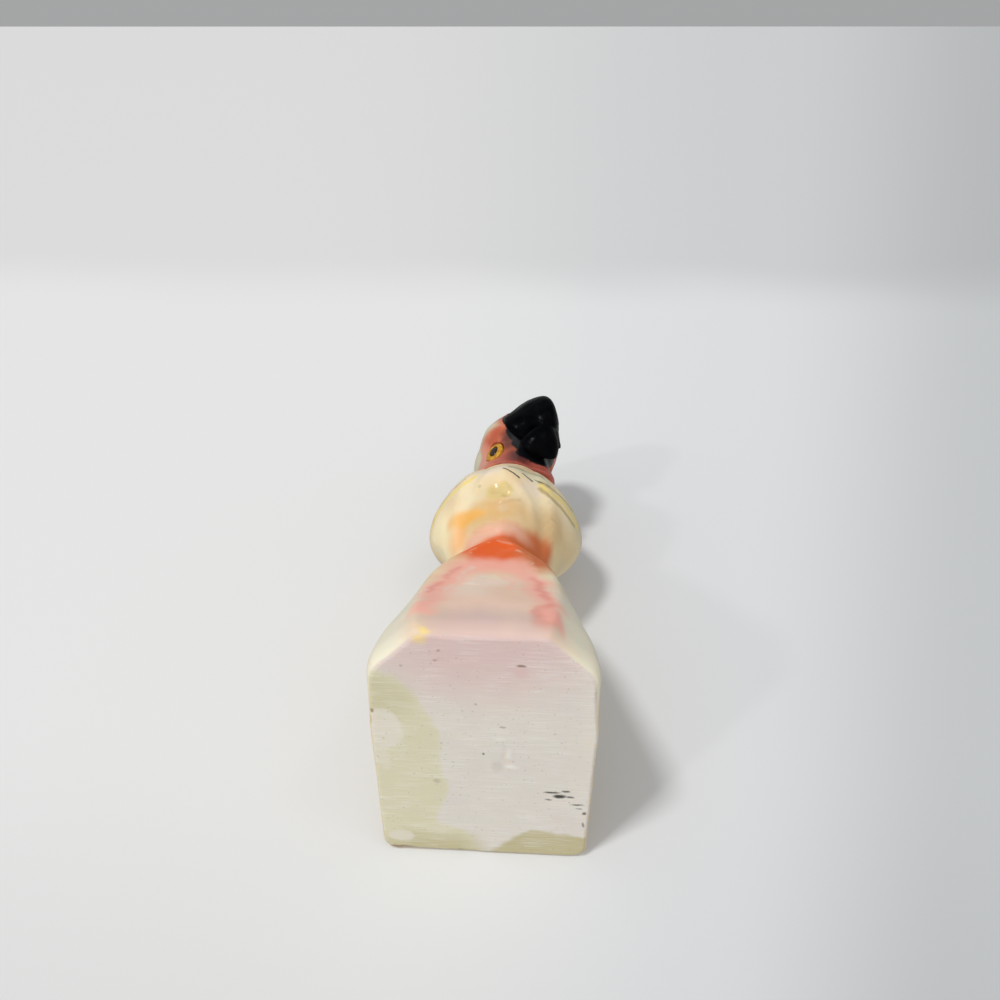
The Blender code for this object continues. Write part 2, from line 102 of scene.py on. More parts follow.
def apply_modifier(piece, kind, **settings):
    only(piece)
    step = piece.modifiers.new(kind.lower(), kind)
    for name, value in settings.items():
        setattr(step, name, value)
    bpy.ops.object.modifier_apply(modifier=step.name)


def worn_copy(node, name, voxel, rounds):
    """A merged copy of a CAD node in an even fine mesh, with its edges worn soft."""
    piece = bpy.data.objects.new(name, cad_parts[node].data.copy())
    bpy.context.scene.collection.objects.link(piece)
    only(piece)
    bpy.ops.object.mode_set(mode="EDIT")
    bpy.ops.mesh.select_all(action="SELECT")
    bpy.ops.mesh.remove_doubles(threshold=WELD)
    bpy.ops.object.mode_set(mode="OBJECT")
    apply_modifier(piece, "REMESH", mode="VOXEL", voxel_size=voxel)
    apply_modifier(piece, "SMOOTH", factor=0.5, iterations=rounds)
    bpy.ops.object.shade_smooth()
    return piece


def lumps(piece, size, height, pattern_shift=0.0):
    """Gentle unevenness left by hand grinding, or by thick paint."""
    cloud = bpy.data.textures.new(piece.name + "_lumps", "CLOUDS")
    cloud.noise_scale = size
    cloud.noise_depth = 1
    guide = bpy.data.objects.new(piece.name + "_guide", None)
    guide.location = (pattern_shift, 0, 0)
    bpy.context.scene.collection.objects.link(guide)
    apply_modifier(
        piece,
        "DISPLACE",
        texture=cloud,
        texture_coords="OBJECT",
        texture_coords_object=guide,
        strength=height,
        mid_level=0.5,
    )
    bpy.data.objects.remove(guide)


def press(piece, spot, reach, push):
    """Pushes the surface round one spot, with a smooth falloff, as a thumb would press clay."""
    middle = Vector(spot) * MM
    for point in piece.data.vertices:
        away = (point.co - middle).length / (reach * MM)
        if away < 1:
            point.co += Vector(push) * MM * (1 - away * away) ** 2


def off_path(place, path):
    """How far a place lies from a path of straight runs, and the share of the path passed there."""
    best, share = 1e9, 0.0
    for i, (start, end) in enumerate(zip(path, path[1:])):
        run = end - start
        along = min(max((place - start).dot(run) / run.length_squared, 0.0), 1.0)
        away = (place - start - along * run).length
        if away < best:
            best, share = away, (i + along) / (len(path) - 1)
    return best, share


def rub(piece, path, reach, height):
    """Raises a ridge along a path where height is positive, or rubs a groove where it is negative."""
    path = [Vector(point) * MM for point in path]
    low = Vector([min(point[i] for point in path) - reach * MM for i in range(3)])
    high = Vector([max(point[i] for point in path) + reach * MM for i in range(3)])
    for point in piece.data.vertices:
        if all(low[i] < point.co[i] < high[i] for i in range(3)):
            away, share = off_path(point.co, path)
            if away < reach * MM:
                ends = min(1.0, RIDGE_RISE * min(share, 1 - share) + RIDGE_START)
                point.co += point.normal * height * MM * ends * (1 - away / (reach * MM))


def tint(piece, name, patches, strokes, wander):
    """Colours a piece's points with soft patches and strokes, one over the other, in a colour layer; a few
    are painted highlights.

    Middles, reaches, places and widths are in millimetres, and wander is how far borders stray.
    """
    mesh = piece.data
    spots = np.empty(len(mesh.vertices) * 3)
    mesh.vertices.foreach_get("co", spots)
    spots = spots.reshape(-1, 3) / MM
    strayed = spots.copy()
    for i, (wave, turn) in enumerate(STRAY_WAVES):
        swirl = spots[:, [1, 2, 0]] * wave + spots[:, [2, 0, 1]] * wave * 0.6 + turn
        strayed += wander / (i + 1.5) * np.sin(swirl)
    stain = np.zeros((len(spots), 4))

    def lay(mask, shade, strength):
        mask = (mask * strength)[:, None]
        stain[:] = stain * (1 - mask) + np.array((*shade, 1.0)) * mask

    def fall(far, soft):
        step = np.clip((1 + soft - far) / (2 * soft), 0, 1)
        return step * step * (3 - 2 * step)

    for middle, reach, soft, shade, strength in patches:
        lay(fall(np.linalg.norm((strayed - middle) / reach, axis=1), soft), shade, strength)
    for points, width, end_width, soft, shade, strength in strokes:
        nearest = np.full(len(spots), 1e9)
        runs = len(points) - 1
        for i in range(runs):
            start, run = np.array(points[i]), np.subtract(points[i + 1], points[i])
            along = np.clip((strayed - start) @ run / (run @ run), 0, 1)
            half = (width + (end_width - width) * (i + along) / runs) / 2
            far = np.linalg.norm(strayed - start - along[:, None] * run, axis=1)
            nearest = np.minimum(nearest, far / half)
        lay(fall(nearest, soft), shade, strength)
    layer = mesh.attributes.new(name, "FLOAT_COLOR", "POINT")
    layer.data.foreach_set("color", stain.ravel())


def hold_flat(piece, bottom, top):
    """Puts the sawn face back in its plane after the wear, and keeps the skin inside the CAD box."""
    for point in piece.data.vertices:
        if point.co.z < SAWN_FACE_WITHIN:
            point.co.z = 0.0
        point.co.x = min(max(point.co.x, bottom[0]), top[0])
        point.co.y = min(max(point.co.y, bottom[1]), top[1])
        point.co.z = min(max(point.co.z, bottom[2]), top[2])


# Shader helpers


def add_node(tree, kind, **settings):
    made = tree.nodes.new(kind)
    for name, value in settings.items():
        setattr(made, name, value)
    return made


def feed(tree, socket, value):
    """Links a socket to another one, or sets it to a value."""
    if isinstance(value, bpy.types.NodeSocket):
        tree.links.new(value, socket)
    else:
        socket.default_value = value


def maths(tree, operation, *values):
    made = add_node(tree, "ShaderNodeMath", operation=operation)
    for socket, value in zip(made.inputs, values):
        feed(tree, socket, value)
    return made.outputs[0]


def vector_maths(tree, operation, *values, out="Vector"):
    made = add_node(tree, "ShaderNodeVectorMath", operation=operation)
    for socket, value in zip(made.inputs, values):
        feed(tree, socket, value)
    return made.outputs[out]


def ramp(tree, value, low, high, to_low=0.0, to_high=1.0):
    """A smooth step between two values."""
    made = add_node(tree, "ShaderNodeMapRange", interpolation_type="SMOOTHSTEP")
    settings = {"Value": value, "From Min": low, "From Max": high, "To Min": to_low, "To Max": to_high}
    for name, setting in settings.items():
        feed(tree, made.inputs[name], setting)
    return made.outputs["Result"]


def blend(tree, share, first, second):
    """A colour between two colours."""
    made = add_node(tree, "ShaderNodeMix", data_type="RGBA")
    feed(tree, made.inputs[MIX_SHARE], share)
    for index, colour in zip(MIX_COLOURS, (first, second)):
        linked = isinstance(colour, bpy.types.NodeSocket)
        feed(tree, made.inputs[index], colour if linked else (*colour, 1.0))
    return made.outputs[MIX_RESULT]


def scale_by(tree, vector, share):
    """A vector or colour times a number."""
    made = add_node(tree, "ShaderNodeVectorMath", operation="SCALE")
    feed(tree, made.inputs[0], vector)
    feed(tree, made.inputs["Scale"], share)
    return made.outputs[0]


def split_place(tree, place):
    """The X, Y and Z of a place."""
    made = add_node(tree, "ShaderNodeSeparateXYZ")
    feed(tree, made.inputs[0], place)
    return made.outputs


def add_bump(tree, shader, height, strength, depth):
    """Fine relief, depth metres deep, that shows in the light alone."""
    bump = add_node(tree, "ShaderNodeBump")
    bump.inputs["Strength"].default_value = strength
    bump.inputs["Distance"].default_value = depth
    feed(tree, bump.inputs["Height"], height)
    feed(tree, shader.inputs["Normal"], bump.outputs["Normal"])


def set_inside_glow(shader, weight, spread, depth):
    """Light that goes some way into the stone or paint and comes out again."""
    shader.inputs["Subsurface Weight"].default_value = weight
    shader.inputs["Subsurface Radius"].default_value = spread
    shader.inputs["Subsurface Scale"].default_value = depth


def noise(tree, place, scale, detail=2.0, roughness=0.5, distortion=0.0, out="Fac"):
    made = add_node(tree, "ShaderNodeTexNoise")
    settings = (("Vector", place), ("Scale", scale), ("Detail", detail), ("Roughness", roughness))
    for name, value in settings + (("Distortion", distortion),):
        feed(tree, made.inputs[name], value)
    return made.outputs[out]


def new_group(name, inputs, outputs):
    """An empty node group with its named inputs and outputs."""
    group = bpy.data.node_groups.new(name, "ShaderNodeTree")
    for label, kind, value in inputs:
        socket = group.interface.new_socket(label, in_out="INPUT", socket_type=kind)
        socket.default_value = value
    for label, kind in outputs:
        group.interface.new_socket(label, in_out="OUTPUT", socket_type=kind)
    return group, add_node(group, "NodeGroupInput"), add_node(group, "NodeGroupOutput")


def use_group(tree, group, out, **values):
    """Places a group with its own values, and gives one of its outputs."""
    made = add_node(tree, "ShaderNodeGroup", node_tree=group)
    for name, value in values.items():
        feed(tree, made.inputs[name.replace("_", " ")], value)
    return made.outputs[out]


VECTOR, FLOAT = "NodeSocketVector", "NodeSocketFloat"


def make_wander():
    """Moves a place about by noise, so that what is painted by place gets an uneven border."""
    inputs = [("Place", VECTOR, (0, 0, 0)), ("Scale", FLOAT, 150.0), ("Amount", FLOAT, 0.002)]
    group, given, result = new_group("wander", inputs, [("Place", VECTOR)])
    cloud = noise(group, given.outputs["Place"], given.outputs["Scale"], detail=3.0, out="Color")
    shift = vector_maths(group, "SUBTRACT", cloud, (0.5, 0.5, 0.5))
    shift = vector_maths(group, "MULTIPLY", shift, (2.0, 2.0, 2.0))
    shift = scale_by(group, shift, given.outputs["Amount"])
    moved = vector_maths(group, "ADD", given.outputs["Place"], shift)
    feed(group, result.inputs["Place"], moved)
    return group


def make_patch():
    """A mask that is 1 in the middle of an oval region and falls off smoothly at its border."""
    group, given, result = new_group(
        "patch",
        [
            ("Place", VECTOR, (0, 0, 0)),
            ("Middle", VECTOR, (0, 0, 0)),
            ("Reach", VECTOR, (1, 1, 1)),
            ("Soft", FLOAT, 0.5),
        ],
        [("Mask", FLOAT)],
    )
    away = vector_maths(group, "SUBTRACT", given.outputs["Place"], given.outputs["Middle"])
    away = vector_maths(group, "DIVIDE", away, given.outputs["Reach"])
    far = vector_maths(group, "LENGTH", away, out="Value")
    inner = maths(group, "SUBTRACT", 1.0, given.outputs["Soft"])
    outer = maths(group, "ADD", 1.0, given.outputs["Soft"])
    feed(group, result.inputs["Mask"], ramp(group, far, inner, outer, 1.0, 0.0))
    return group


def make_stroke():
    """A mask along a straight brush stroke between two places, thinner towards its far end."""
    group, given, result = new_group(
        "stroke",
        [
            ("Place", VECTOR, (0, 0, 0)),
            ("Start", VECTOR, (0, 0, 0)),
            ("End", VECTOR, (1, 0, 0)),
            ("Width", FLOAT, 0.001),
            ("End Width", FLOAT, 0.001),
            ("Soft", FLOAT, 0.3),
        ],
        [("Mask", FLOAT)],
    )
    along = vector_maths(group, "SUBTRACT", given.outputs["End"], given.outputs["Start"])
    away = vector_maths(group, "SUBTRACT", given.outputs["Place"], given.outputs["Start"])
    reached = vector_maths(group, "DOT_PRODUCT", away, along, out="Value")
    length = vector_maths(group, "DOT_PRODUCT", along, along, out="Value")
    share = add_node(group, "ShaderNodeClamp")
    feed(group, share.inputs["Value"], maths(group, "DIVIDE", reached, length))
    beside_stroke = vector_maths(group, "SUBTRACT", away, scale_by(group, along, share.outputs[0]))
    far = vector_maths(group, "LENGTH", beside_stroke, out="Value")
    thinner = maths(group, "SUBTRACT", given.outputs["End Width"], given.outputs["Width"])
    width = maths(group, "MULTIPLY_ADD", thinner, share.outputs[0], given.outputs["Width"])
    half = maths(group, "MULTIPLY", width, 0.5)
    relative = maths(group, "DIVIDE", far, half)
    inner = maths(group, "SUBTRACT", 1.0, given.outputs["Soft"])
    outer = maths(group, "ADD", 1.0, given.outputs["Soft"])
    feed(group, result.inputs["Mask"], ramp(group, relative, inner, outer, 1.0, 0.0))
    return group


# The saw's marks run along X, so their pattern changes fastest across it. Steps for each metre
FINE_SAW_MARKS = (150.0, 3300.0, 200.0)
BROAD_SAW_MARKS = (40.0, 900.0, 100.0)


def make_saw_marks():
    """Straight marks that a stone saw leaves, as a height and as a faint change of shade."""
    outputs = [("Height", FLOAT), ("Shade", FLOAT)]
    group, given, result = new_group("saw_marks", [("Place", VECTOR, (0, 0, 0))], outputs)
    fine_place = vector_maths(group, "MULTIPLY", given.outputs["Place"], FINE_SAW_MARKS)
    fine = noise(group, fine_place, 1.0, detail=2.0, roughness=0.6)
    broad_place = vector_maths(group, "MULTIPLY", given.outputs["Place"], BROAD_SAW_MARKS)
    broad = noise(group, broad_place, 1.0, detail=2.0, roughness=0.5)
    height = maths(group, "ADD", maths(group, "MULTIPLY", fine, 0.7), maths(group, "MULTIPLY", broad, 0.3))
    feed(group, result.inputs["Height"], height)
    feed(group, result.inputs["Shade"], ramp(group, height, 0.44, 0.66))
    return group


WANDER = make_wander()
PATCH = make_patch()
STROKE = make_stroke()
SAW_MARKS = make_saw_marks()


def new_material(name):
    """A material with its Principled shader and the piece's own place in metres."""
    material = bpy.data.materials.new(name)
    material.use_nodes = True
    tree = material.node_tree
    place = add_node(tree, "ShaderNodeTexCoord").outputs["Object"]
    return material, tree, tree.nodes["Principled BSDF"], place


def in_metres(millimetres):
    """A place or reach given in millimetres, in metres."""
    return tuple(v * MM for v in millimetres)


def patch_mask(tree, place, middle, reach, soft):
    """The mask of one oval patch. Its middle and reach are in millimetres."""
    return use_group(
        tree, PATCH, "Mask", Place=place, Middle=in_metres(middle), Reach=in_metres(reach), Soft=soft
    )


def paint_patches(tree, colour, place, patches):
    """Lays oval patches of colour over one another. Middles and reaches are in millimetres."""
    for middle, reach, soft, shade, strength in patches:
        mask = patch_mask(tree, place, middle, reach, soft)
        colour = blend(tree, maths(tree, "MULTIPLY", mask, strength), colour, shade)
    return colour


def paint_strokes(tree, colour, place, strokes):
    """Lays brush strokes through rows of points. Places and widths are in millimetres."""
    for points, width, end_width, soft, shade, strength in strokes:
        masks = []
        count = len(points) - 1
        for i in range(count):
            masks.append(
                use_group(
                    tree,
                    STROKE,
                    "Mask",
                    Place=place,
                    Start=in_metres(points[i]),
                    End=in_metres(points[i + 1]),
                    Width=(width + (end_width - width) * i / count) * MM,
                    End_Width=(width + (end_width - width) * (i + 1) / count) * MM,
                    Soft=soft,
                )
            )
        mask = masks[0]
        for other in masks[1:]:
            mask = maths(tree, "MAXIMUM", mask, other)
        colour = blend(tree, maths(tree, "MULTIPLY", mask, strength), colour, shade)
    return colour


# Colours of the stone
CREAM = (0.775, 0.595, 0.35)
PALE_CREAM = (0.83, 0.70, 0.47)
BRIGHT_CREAM = (0.93, 0.79, 0.50)
TAN_STONE = (0.74, 0.57, 0.30)
GREEN_CREAM = (0.66, 0.62, 0.42)
GREEN_STONE = (0.64, 0.60, 0.415)
OLIVE_STONE = (0.47, 0.41, 0.215)
LILAC = (0.635, 0.585, 0.545)
PINK_LILAC = (0.655, 0.475, 0.445)
PINK_CREAM = (0.90, 0.63, 0.51)
WHITE_CREAM = (0.80, 0.69, 0.58)
PINK = (0.95, 0.45, 0.36)
ROSE = (0.66, 0.23, 0.19)
ORANGE = (0.82, 0.115, 0.012)
RUST = (0.58, 0.13, 0.03)
SALMON = (0.80, 0.48, 0.34)
AMBER = (0.84, 0.42, 0.075)
GLOW = (0.86, 0.37, 0.10)
BELLY = (0.67, 0.42, 0.165)
HONEY = (0.68, 0.52, 0.21)
BEIGE = (0.58, 0.40, 0.19)
CHALK = (0.70, 0.65, 0.55)
CHIP_HIGHLIGHT = (0.86, 0.84, 0.78)
EDGE_STONE = (0.80, 0.77, 0.63)
PEACH = (0.80, 0.53, 0.39)
DEEP_PINK = (0.80, 0.27, 0.22)
CHIP_SHADE = (0.50, 0.45, 0.40)
MARK = (0.26, 0.17, 0.13)
PIT_SHADE = (0.030, 0.028, 0.025)
SAW_LIGHT = (0.88, 0.86, 0.83)
PIT_SPECK_SHADE = (0.36, 0.31, 0.27)
DIRT = (0.20, 0.14, 0.08)
PALE_GOLD = (0.86, 0.66, 0.20)
GOLD_LINE = (0.42, 0.26, 0.08)
BROWN_LINE = (0.46, 0.34, 0.13)
BLACK_LINE = (0.045, 0.04, 0.03)
OLIVE_LINE = (0.20, 0.19, 0.11)

# Paths that veins, paint and relief follow, in millimetres
PINK_LEFT = ((-3, -18.5, 44), (-7.5, -20.5, 38), (-11, -23, 30), (-12.2, -26, 21), (-12.6, -30.5, 8))
PINK_RIGHT = ((3, -18.5, 44), (7, -20, 39), (10, -22.5, 31), (12, -26, 20), (14, -30.6, 6))
CREST_RIGHT = ((-0.3, -15.8, 60), (3.6, -16.2, 57), (6.3, -17.1, 52), (8, -18, 47.8), (10.6, -20.2, 38.8))
CREST_LEFT = ((-0.3, -15.8, 60), (-4.0, -16.4, 56.5), (-7, -17.6, 50), (-9.2, -18.9, 44))
LEFT_BAND = (
    (-22.4, -1, 91.6),
    (-19.6, -6.8, 91.8),
    (-16.8, -11, 91.8),
    (-13.8, -14.6, 91),
    (-10.8, -16.8, 91.4),
    (-8.6, -17.8, 93.2),
)
RIGHT_BAND = (
    (10.6, -16.3, 90.4),
    (11.9, -15.5, 90),
    (14.9, -13, 90),
    (18, -9.1, 91),
    (20.6, -4.9, 92),
    (22, -1.6, 92),
)
LEFT_BAND_LINE = ((-22.4, -1, 93.6), (-19.0, -7.6, 93.8), (-14.8, -13.2, 93.6), (-11.8, -16.2, 93.2))
RIGHT_LOWER_LINE = (
    (10.6, -16.2, 88.9),
    (11.9, -15.2, 88.3),
    (14.3, -13.1, 87.6),
    (16.5, -10.7, 88.2),
    (18, -8.4, 88.3),
    (20.9, -3.2, 89.6),
)
RIGHT_UPPER_LINE = (
    (10.4, -16.6, 91.6),
    (12.8, -15.3, 91.7),
    (15.5, -12.6, 93),
    (18.1, -9.3, 94),
    (20.4, -5.4, 95),
)
BLACK_FEATHER = (
    (-1.6, -20.9, 93.6),
    (-0.4, -20.9, 92.3),
    (1.5, -20.6, 90.9),
    (3.0, -20.1, 90.1),
    (4.3, -19.4, 89.2),
)
OLIVE_RIM_BAND = ((1.5, -20.3, 94.6), (4.6, -19.0, 95.8), (7.6, -17.4, 96.6), (11.4, -16.2, 95.4))
SCRATCH = ((12.1, -11.2, 81.4), (13.5, -10.4, 81.1), (15.3, -8.6, 81.3), (16.6, -6.6, 81.5))

# Each patch: middle, reach, softness of the border, colour, strength
STONE_PATCHES_AND_HIGHLIGHTS = [
    ((0, -26, 21), (15, 11, 19), 0.40, PINK_CREAM, 0.90),
    ((1, -24, 26), (8, 6, 9), 0.60, WHITE_CREAM, 0.60),
    ((1, -31, 2), (17, 8, 8), 0.60, PINK_LILAC, 0.85),
    ((-20, -22, 10), (8, 12, 20), 0.50, EDGE_STONE, 0.80),
    ((20, -20, 14), (8, 12, 24), 0.50, EDGE_STONE, 0.80),
    ((5.5, -24.5, 23), (6.0, 5, 9), 0.60, PEACH, 0.60),
    # Painted highlight: a small pale spot on the pedestal's front
    ((1.2, -21.0, 35.5), (1.8, 2, 2.2), 0.60, PALE_CREAM, 0.75),
    ((-2, -19.5, 42.5), (10, 5, 5.0), 0.70, PINK, 0.75),
    ((0, -16, 53), (11.0, 8, 10.5), 0.42, ORANGE, 1.00),
    ((10.8, -16.0, 48.5), (5.8, 7, 10.5), 0.45, RUST, 0.95),
    ((-2, -10, 66), (15, 10, 6.5), 0.40, ORANGE, 0.90),
    ((8, -10, 66), (7, 8, 7), 0.45, RUST, 0.80),
    ((10.8, -5.6, 71.2), (5.8, 7, 5.4), 0.45, RUST, 0.92),
    ((-3.5, -11.5, 70.6), (11, 7, 3.0), 0.50, SALMON, 0.95),
    ((-3, -14, 77), (12, 7, 4.5), 0.55, BELLY, 0.85),
    ((-13.2, -5.5, 75.4), (4.6, 4.5, 3.4), 0.55, GLOW, 0.60),
    ((-10.4, -11.0, 78.6), (4.6, 3.6, 2.1), 0.55, AMBER, 0.75),
    ((14, -8, 80), (6, 7, 5.0), 0.55, BEIGE, 0.75),
    ((-20, -1, 82), (7, 9, 10.0), 0.50, BRIGHT_CREAM, 0.85),
    ((-1.4, -18.9, 83.2), (4.4, 3.2, 3.5), 0.22, HONEY, 0.85),
    ((0.7, -16.7, 77.4), (1.6, 2, 1.3), 0.70, LILAC, 0.25),
    ((-7.4, -17.1, 87.1), (0.6, 0.9, 0.6), 0.50, OLIVE_STONE, 0.60),
    # Painted highlight: a whitish patch on the breast, beside the right crease of the facet
    ((7.6, -17, 87.5), (3.4, 3, 3.2), 0.55, WHITE_CREAM, 0.55),
    ((8, -18, 95), (9, 5, 4.2), 0.45, GREEN_STONE, 0.80),
    ((-5, -19, 94.5), (6.5, 4, 4.0), 0.50, WHITE_CREAM, 0.70),
    ((20, -1, 96), (9, 9, 7.0), 0.50, GREEN_STONE, 0.75),
    ((19, 4, 81), (7, 9, 10), 0.50, TAN_STONE, 0.60),
    ((13.2, -30.8, 7.0), (3.4, 3, 4.6), 0.50, ROSE, 0.85),
    ((12.0, -29.2, 10.0), (1.6, 2, 3.4), 0.60, ROSE, 0.80),
]

# Each stroke: its path, width, width at its end, softness of the border, colour, strength
VEINS = [
    (((-14.4, -28.8, 4.6), (-12.8, -30.4, 2.0), (-11.2, -31.4, 0.4)), 2.4, 1.6, 0.80, PALE_GOLD, 0.85),
    (PINK_LEFT, 7.5, 5.0, 0.90, PINK, 0.90),
    (PINK_RIGHT, 6.5, 5.0, 0.90, PINK, 0.90),
    (((-8.6, -19.6, 40), (-11.6, -22.0, 32), (-13.2, -25.5, 21)), 1.8, 1.4, 0.90, DEEP_PINK, 0.60),
    (((9.6, -21.6, 33), (12.2, -25.0, 22), (13.4, -28.6, 12)), 1.8, 2.4, 0.90, DEEP_PINK, 0.65),
    (((-5.0, -19.6, 41), (-8.4, -22.0, 32), (-9.8, -25.0, 23)), 1.4, 1.0, 0.90, WHITE_CREAM, 0.45),
    (((-0.5, -20.8, 35), (-3.4, -21.7, 32), (-6, -24, 25)), 2.4, 1.2, 0.80, WHITE_CREAM, 0.45),
    (((1.5, -20.8, 37), (4, -22, 32), (5, -24.6, 24)), 1.8, 1.0, 0.80, PINK, 0.40),
    (((-15.5, -8.5, 80.3), (-10.5, -11.6, 78.8), (-5.6, -14.2, 77)), 4.4, 2.4, 0.90, AMBER, 0.60),
    (((-6.5, -16.6, 80), (-1.4, -17.2, 78.4), (4.5, -16.6, 80.4)), 1.6, 1.2, 0.70, BEIGE, 0.50),
]

# Painted highlights: pale lines along the raised crest and down the pedestal's right front crease
CREST_HIGHLIGHTS = [
    (CREST_RIGHT, 0.9, 0.7, 0.60, SALMON, 0.75),
    (CREST_LEFT, 0.7, 0.5, 0.60, SALMON, 0.60),
    (((10.6, -20.2, 38.8), (13, -23, 29), (15.5, -26.5, 18)), 0.8, 0.6, 0.60, WHITE_CREAM, 0.55),
]

# The sawn face: broad zones of the stone, and then chips, pits and dirt on it, with painted highlight and
# shade at a chip and painted shade in the pits
UNDERSIDE_ZONES = [
    ((0, -31, 0), (22, 15, 9), 0.60, PINK_LILAC, 0.85),
    ((-25, 8, 0), (16.6, 31, 9), 0.045, GREEN_STONE, 0.92),
    ((15, 36, 0), (15, 11.8, 9), 0.06, OLIVE_STONE, 0.88),
    ((-20, 38, 0), (21, 17.9, 9), 0.06, GREEN_STONE, 0.90),
    ((-12, 34, 0), (14, 7.0, 9), 0.45, OLIVE_STONE, 0.75),
    ((-21, -14, 0), (6, 6, 9), 0.50, OLIVE_STONE, 0.35),
    ((-21.0, -5.2, 0), (4.2, 5.6, 9), 0.12, CHALK, 0.85),
    ((-22.0, 3.0, 0), (2.4, 3.4, 9), 0.30, CHALK, 0.45),
]

UNDERSIDE_MARKS = [
    ((-19.0, 27.2, 0), (3.0, 1.8, 9), 0.20, CHALK, 0.80),
    ((-12.4, -29.8, 0), (1.5, 1.3, 9), 0.80, PALE_GOLD, 0.60),
    # Painted highlight along the chip's groove, and painted shade in a dim spot beside it
    ((3.4, -3.6, 0), (1.3, 0.35, 9), 0.60, CHIP_HIGHLIGHT, 0.32),
    ((5.0, 0.6, 0), (0.8, 1.5, 9), 0.80, CHIP_HIGHLIGHT, 0.22),
    ((6.3, 4.2, 0), (1.2, 0.45, 9), 0.60, CHIP_HIGHLIGHT, 0.30),
    ((3.0, 4.2, 0), (1.2, 1.6, 9), 0.60, CHIP_SHADE, 0.40),
    ((7.8, -21.8, 0), (1.8, 1.3, 9), 0.55, PINK_LILAC, 0.80),
    ((7.8, -23.6, 0), (0.9, 0.28, 9), 0.50, MARK, 0.85),
    ((-8.7, -27.0, 0), (0.35, 0.3, 9), 0.50, MARK, 0.50),
    ((-9.4, -24.4, 0), (0.5, 0.3, 9), 0.40, MARK, 0.45),
    ((-16.3, -22.6, 0), (0.4, 0.3, 9), 0.40, MARK, 0.40),
    ((4.2, -7.2, 0), (0.7, 0.25, 9), 0.40, MARK, 0.50),
    ((-1.3, -13.3, 0), (0.35, 0.3, 9), 0.40, MARK, 0.45),
    ((-10.2, 9.4, 0), (0.8, 0.6, 9), 0.50, MARK, 0.30),
    # Painted shade: near-black spots where small pits in the sawn face are dark inside; the mesh has no pits
    ((0.0, 0.7, 0), (0.3, 0.3, 9), 0.40, PIT_SHADE, 0.70),
    ((15.0, 11.4, 0), (1.6, 0.28, 9), 0.50, PIT_SHADE, 0.85),
    ((18.0, 11.0, 0), (0.8, 0.35, 9), 0.50, PIT_SHADE, 0.80),
    ((16.6, 12.5, 0), (1.3, 0.50, 9), 0.50, PIT_SHADE, 0.95),
    ((18.9, 12.7, 0), (0.9, 0.25, 9), 0.50, PIT_SHADE, 0.75),
    ((14.2, 13.6, 0), (0.6, 0.22, 9), 0.50, PIT_SHADE, 0.70),
    ((20.6, 14.9, 0), (1.3, 0.24, 9), 0.50, PIT_SHADE, 0.75),
    ((20.9, 16.2, 0), (0.8, 0.18, 9), 0.50, PIT_SHADE, 0.60),
    ((22.4, 17.4, 0), (0.45, 0.5, 9), 0.50, PIT_SHADE, 0.75),
    ((22.2, 21.2, 0), (0.3, 0.7, 9), 0.50, PIT_SHADE, 0.60),
    ((-23.2, -10.5, 0), (0.45, 0.5, 9), 0.40, DIRT, 0.75),
    ((-23.6, -7.6, 0), (0.3, 1.4, 9), 0.50, MARK, 0.50),
    ((-5.6, 31.2, 0), (0.9, 0.5, 9), 0.40, DIRT, 0.80),
    ((-19.0, 30.9, 0), (3.0, 0.45, 9), 0.50, MARK, 0.75),
    ((-12.0, 31.5, 0), (5.0, 0.35, 9), 0.50, DIRT, 0.55),
    ((23.2, -16.5, 0), (0.35, 1.6, 9), 0.50, MARK, 0.35),
]

# Painted bands that stain the stone, and the fine lines along them
WING_BANDS = [
    (LEFT_BAND, 2.2, 1.6, 0.35, PALE_GOLD, 0.90),
    (RIGHT_BAND, 1.8, 2.4, 0.35, PALE_GOLD, 0.85),
    (((-16, -12, 97), (-18.5, -7, 98), (-20, -1, 98.5)), 0.5, 0.4, 0.40, GOLD_LINE, 0.55),
    (((16, -10, 97.5), (18.2, -5, 98.6), (19.4, 1, 99)), 0.5, 0.4, 0.40, GOLD_LINE, 0.60),
    (SCRATCH, 0.40, 0.30, 0.50, GOLD_LINE, 0.60),
]

WING_STROKES = [
    (LEFT_BAND_LINE, 0.8, 0.6, 0.40, GOLD_LINE, 0.85),
    (RIGHT_LOWER_LINE, 1.6, 1.2, 0.80, BROWN_LINE, 0.85),
    (RIGHT_UPPER_LINE, 1.4, 1.2, 0.80, BROWN_LINE, 0.80),
    (BLACK_FEATHER, 0.50, 0.80, 0.30, BLACK_LINE, 0.92),
    (((5.0, -19.3, 92.2), (6.5, -18.4, 91.3), (8.0, -17.5, 90.6)), 0.60, 0.65, 0.30, BLACK_LINE, 0.92),
    (((8.6, -17.4, 91.8), (10.7, -16.5, 91.6), (13.4, -14.9, 92.6)), 0.50, 0.40, 0.35, BLACK_LINE, 0.75),
    # A dark olive band along the breast's top rim, just below the head
    (OLIVE_RIM_BAND, 1.8, 1.4, 0.70, OLIVE_LINE, 0.60),
]

# Middle and reach of the parts that kept a high gloss: the hollow of the breast, and the seam
GLOSSY_SPOTS = [((-1.0, -18.0, 82.5), (7, 6, 5)), ((-2.0, -12.0, 71.0), (11, 8, 3.5))]

# How high on the pedestal the sawn face's colour ends, and where the stone is dulled by handling
SAWN_EDGE = (0.10 * MM, 0.60 * MM)
DULL_FOOT = (1.0 * MM, 9.0 * MM)

# Finishes of the onyx, and how far each colour of light spreads inside the stone and inside the paint
POLISHED_ROUGHNESS = (0.42, 0.48)
FOOT_ROUGHNESS = 0.55
SAWN_ROUGHNESS = 0.75
POLISH_COAT = 0.03
SPOT_COAT = 0.30
ONYX_SPREAD = (1.0, 0.62, 0.38)
PAINT_SPREAD = (1.0, 0.4, 0.25)


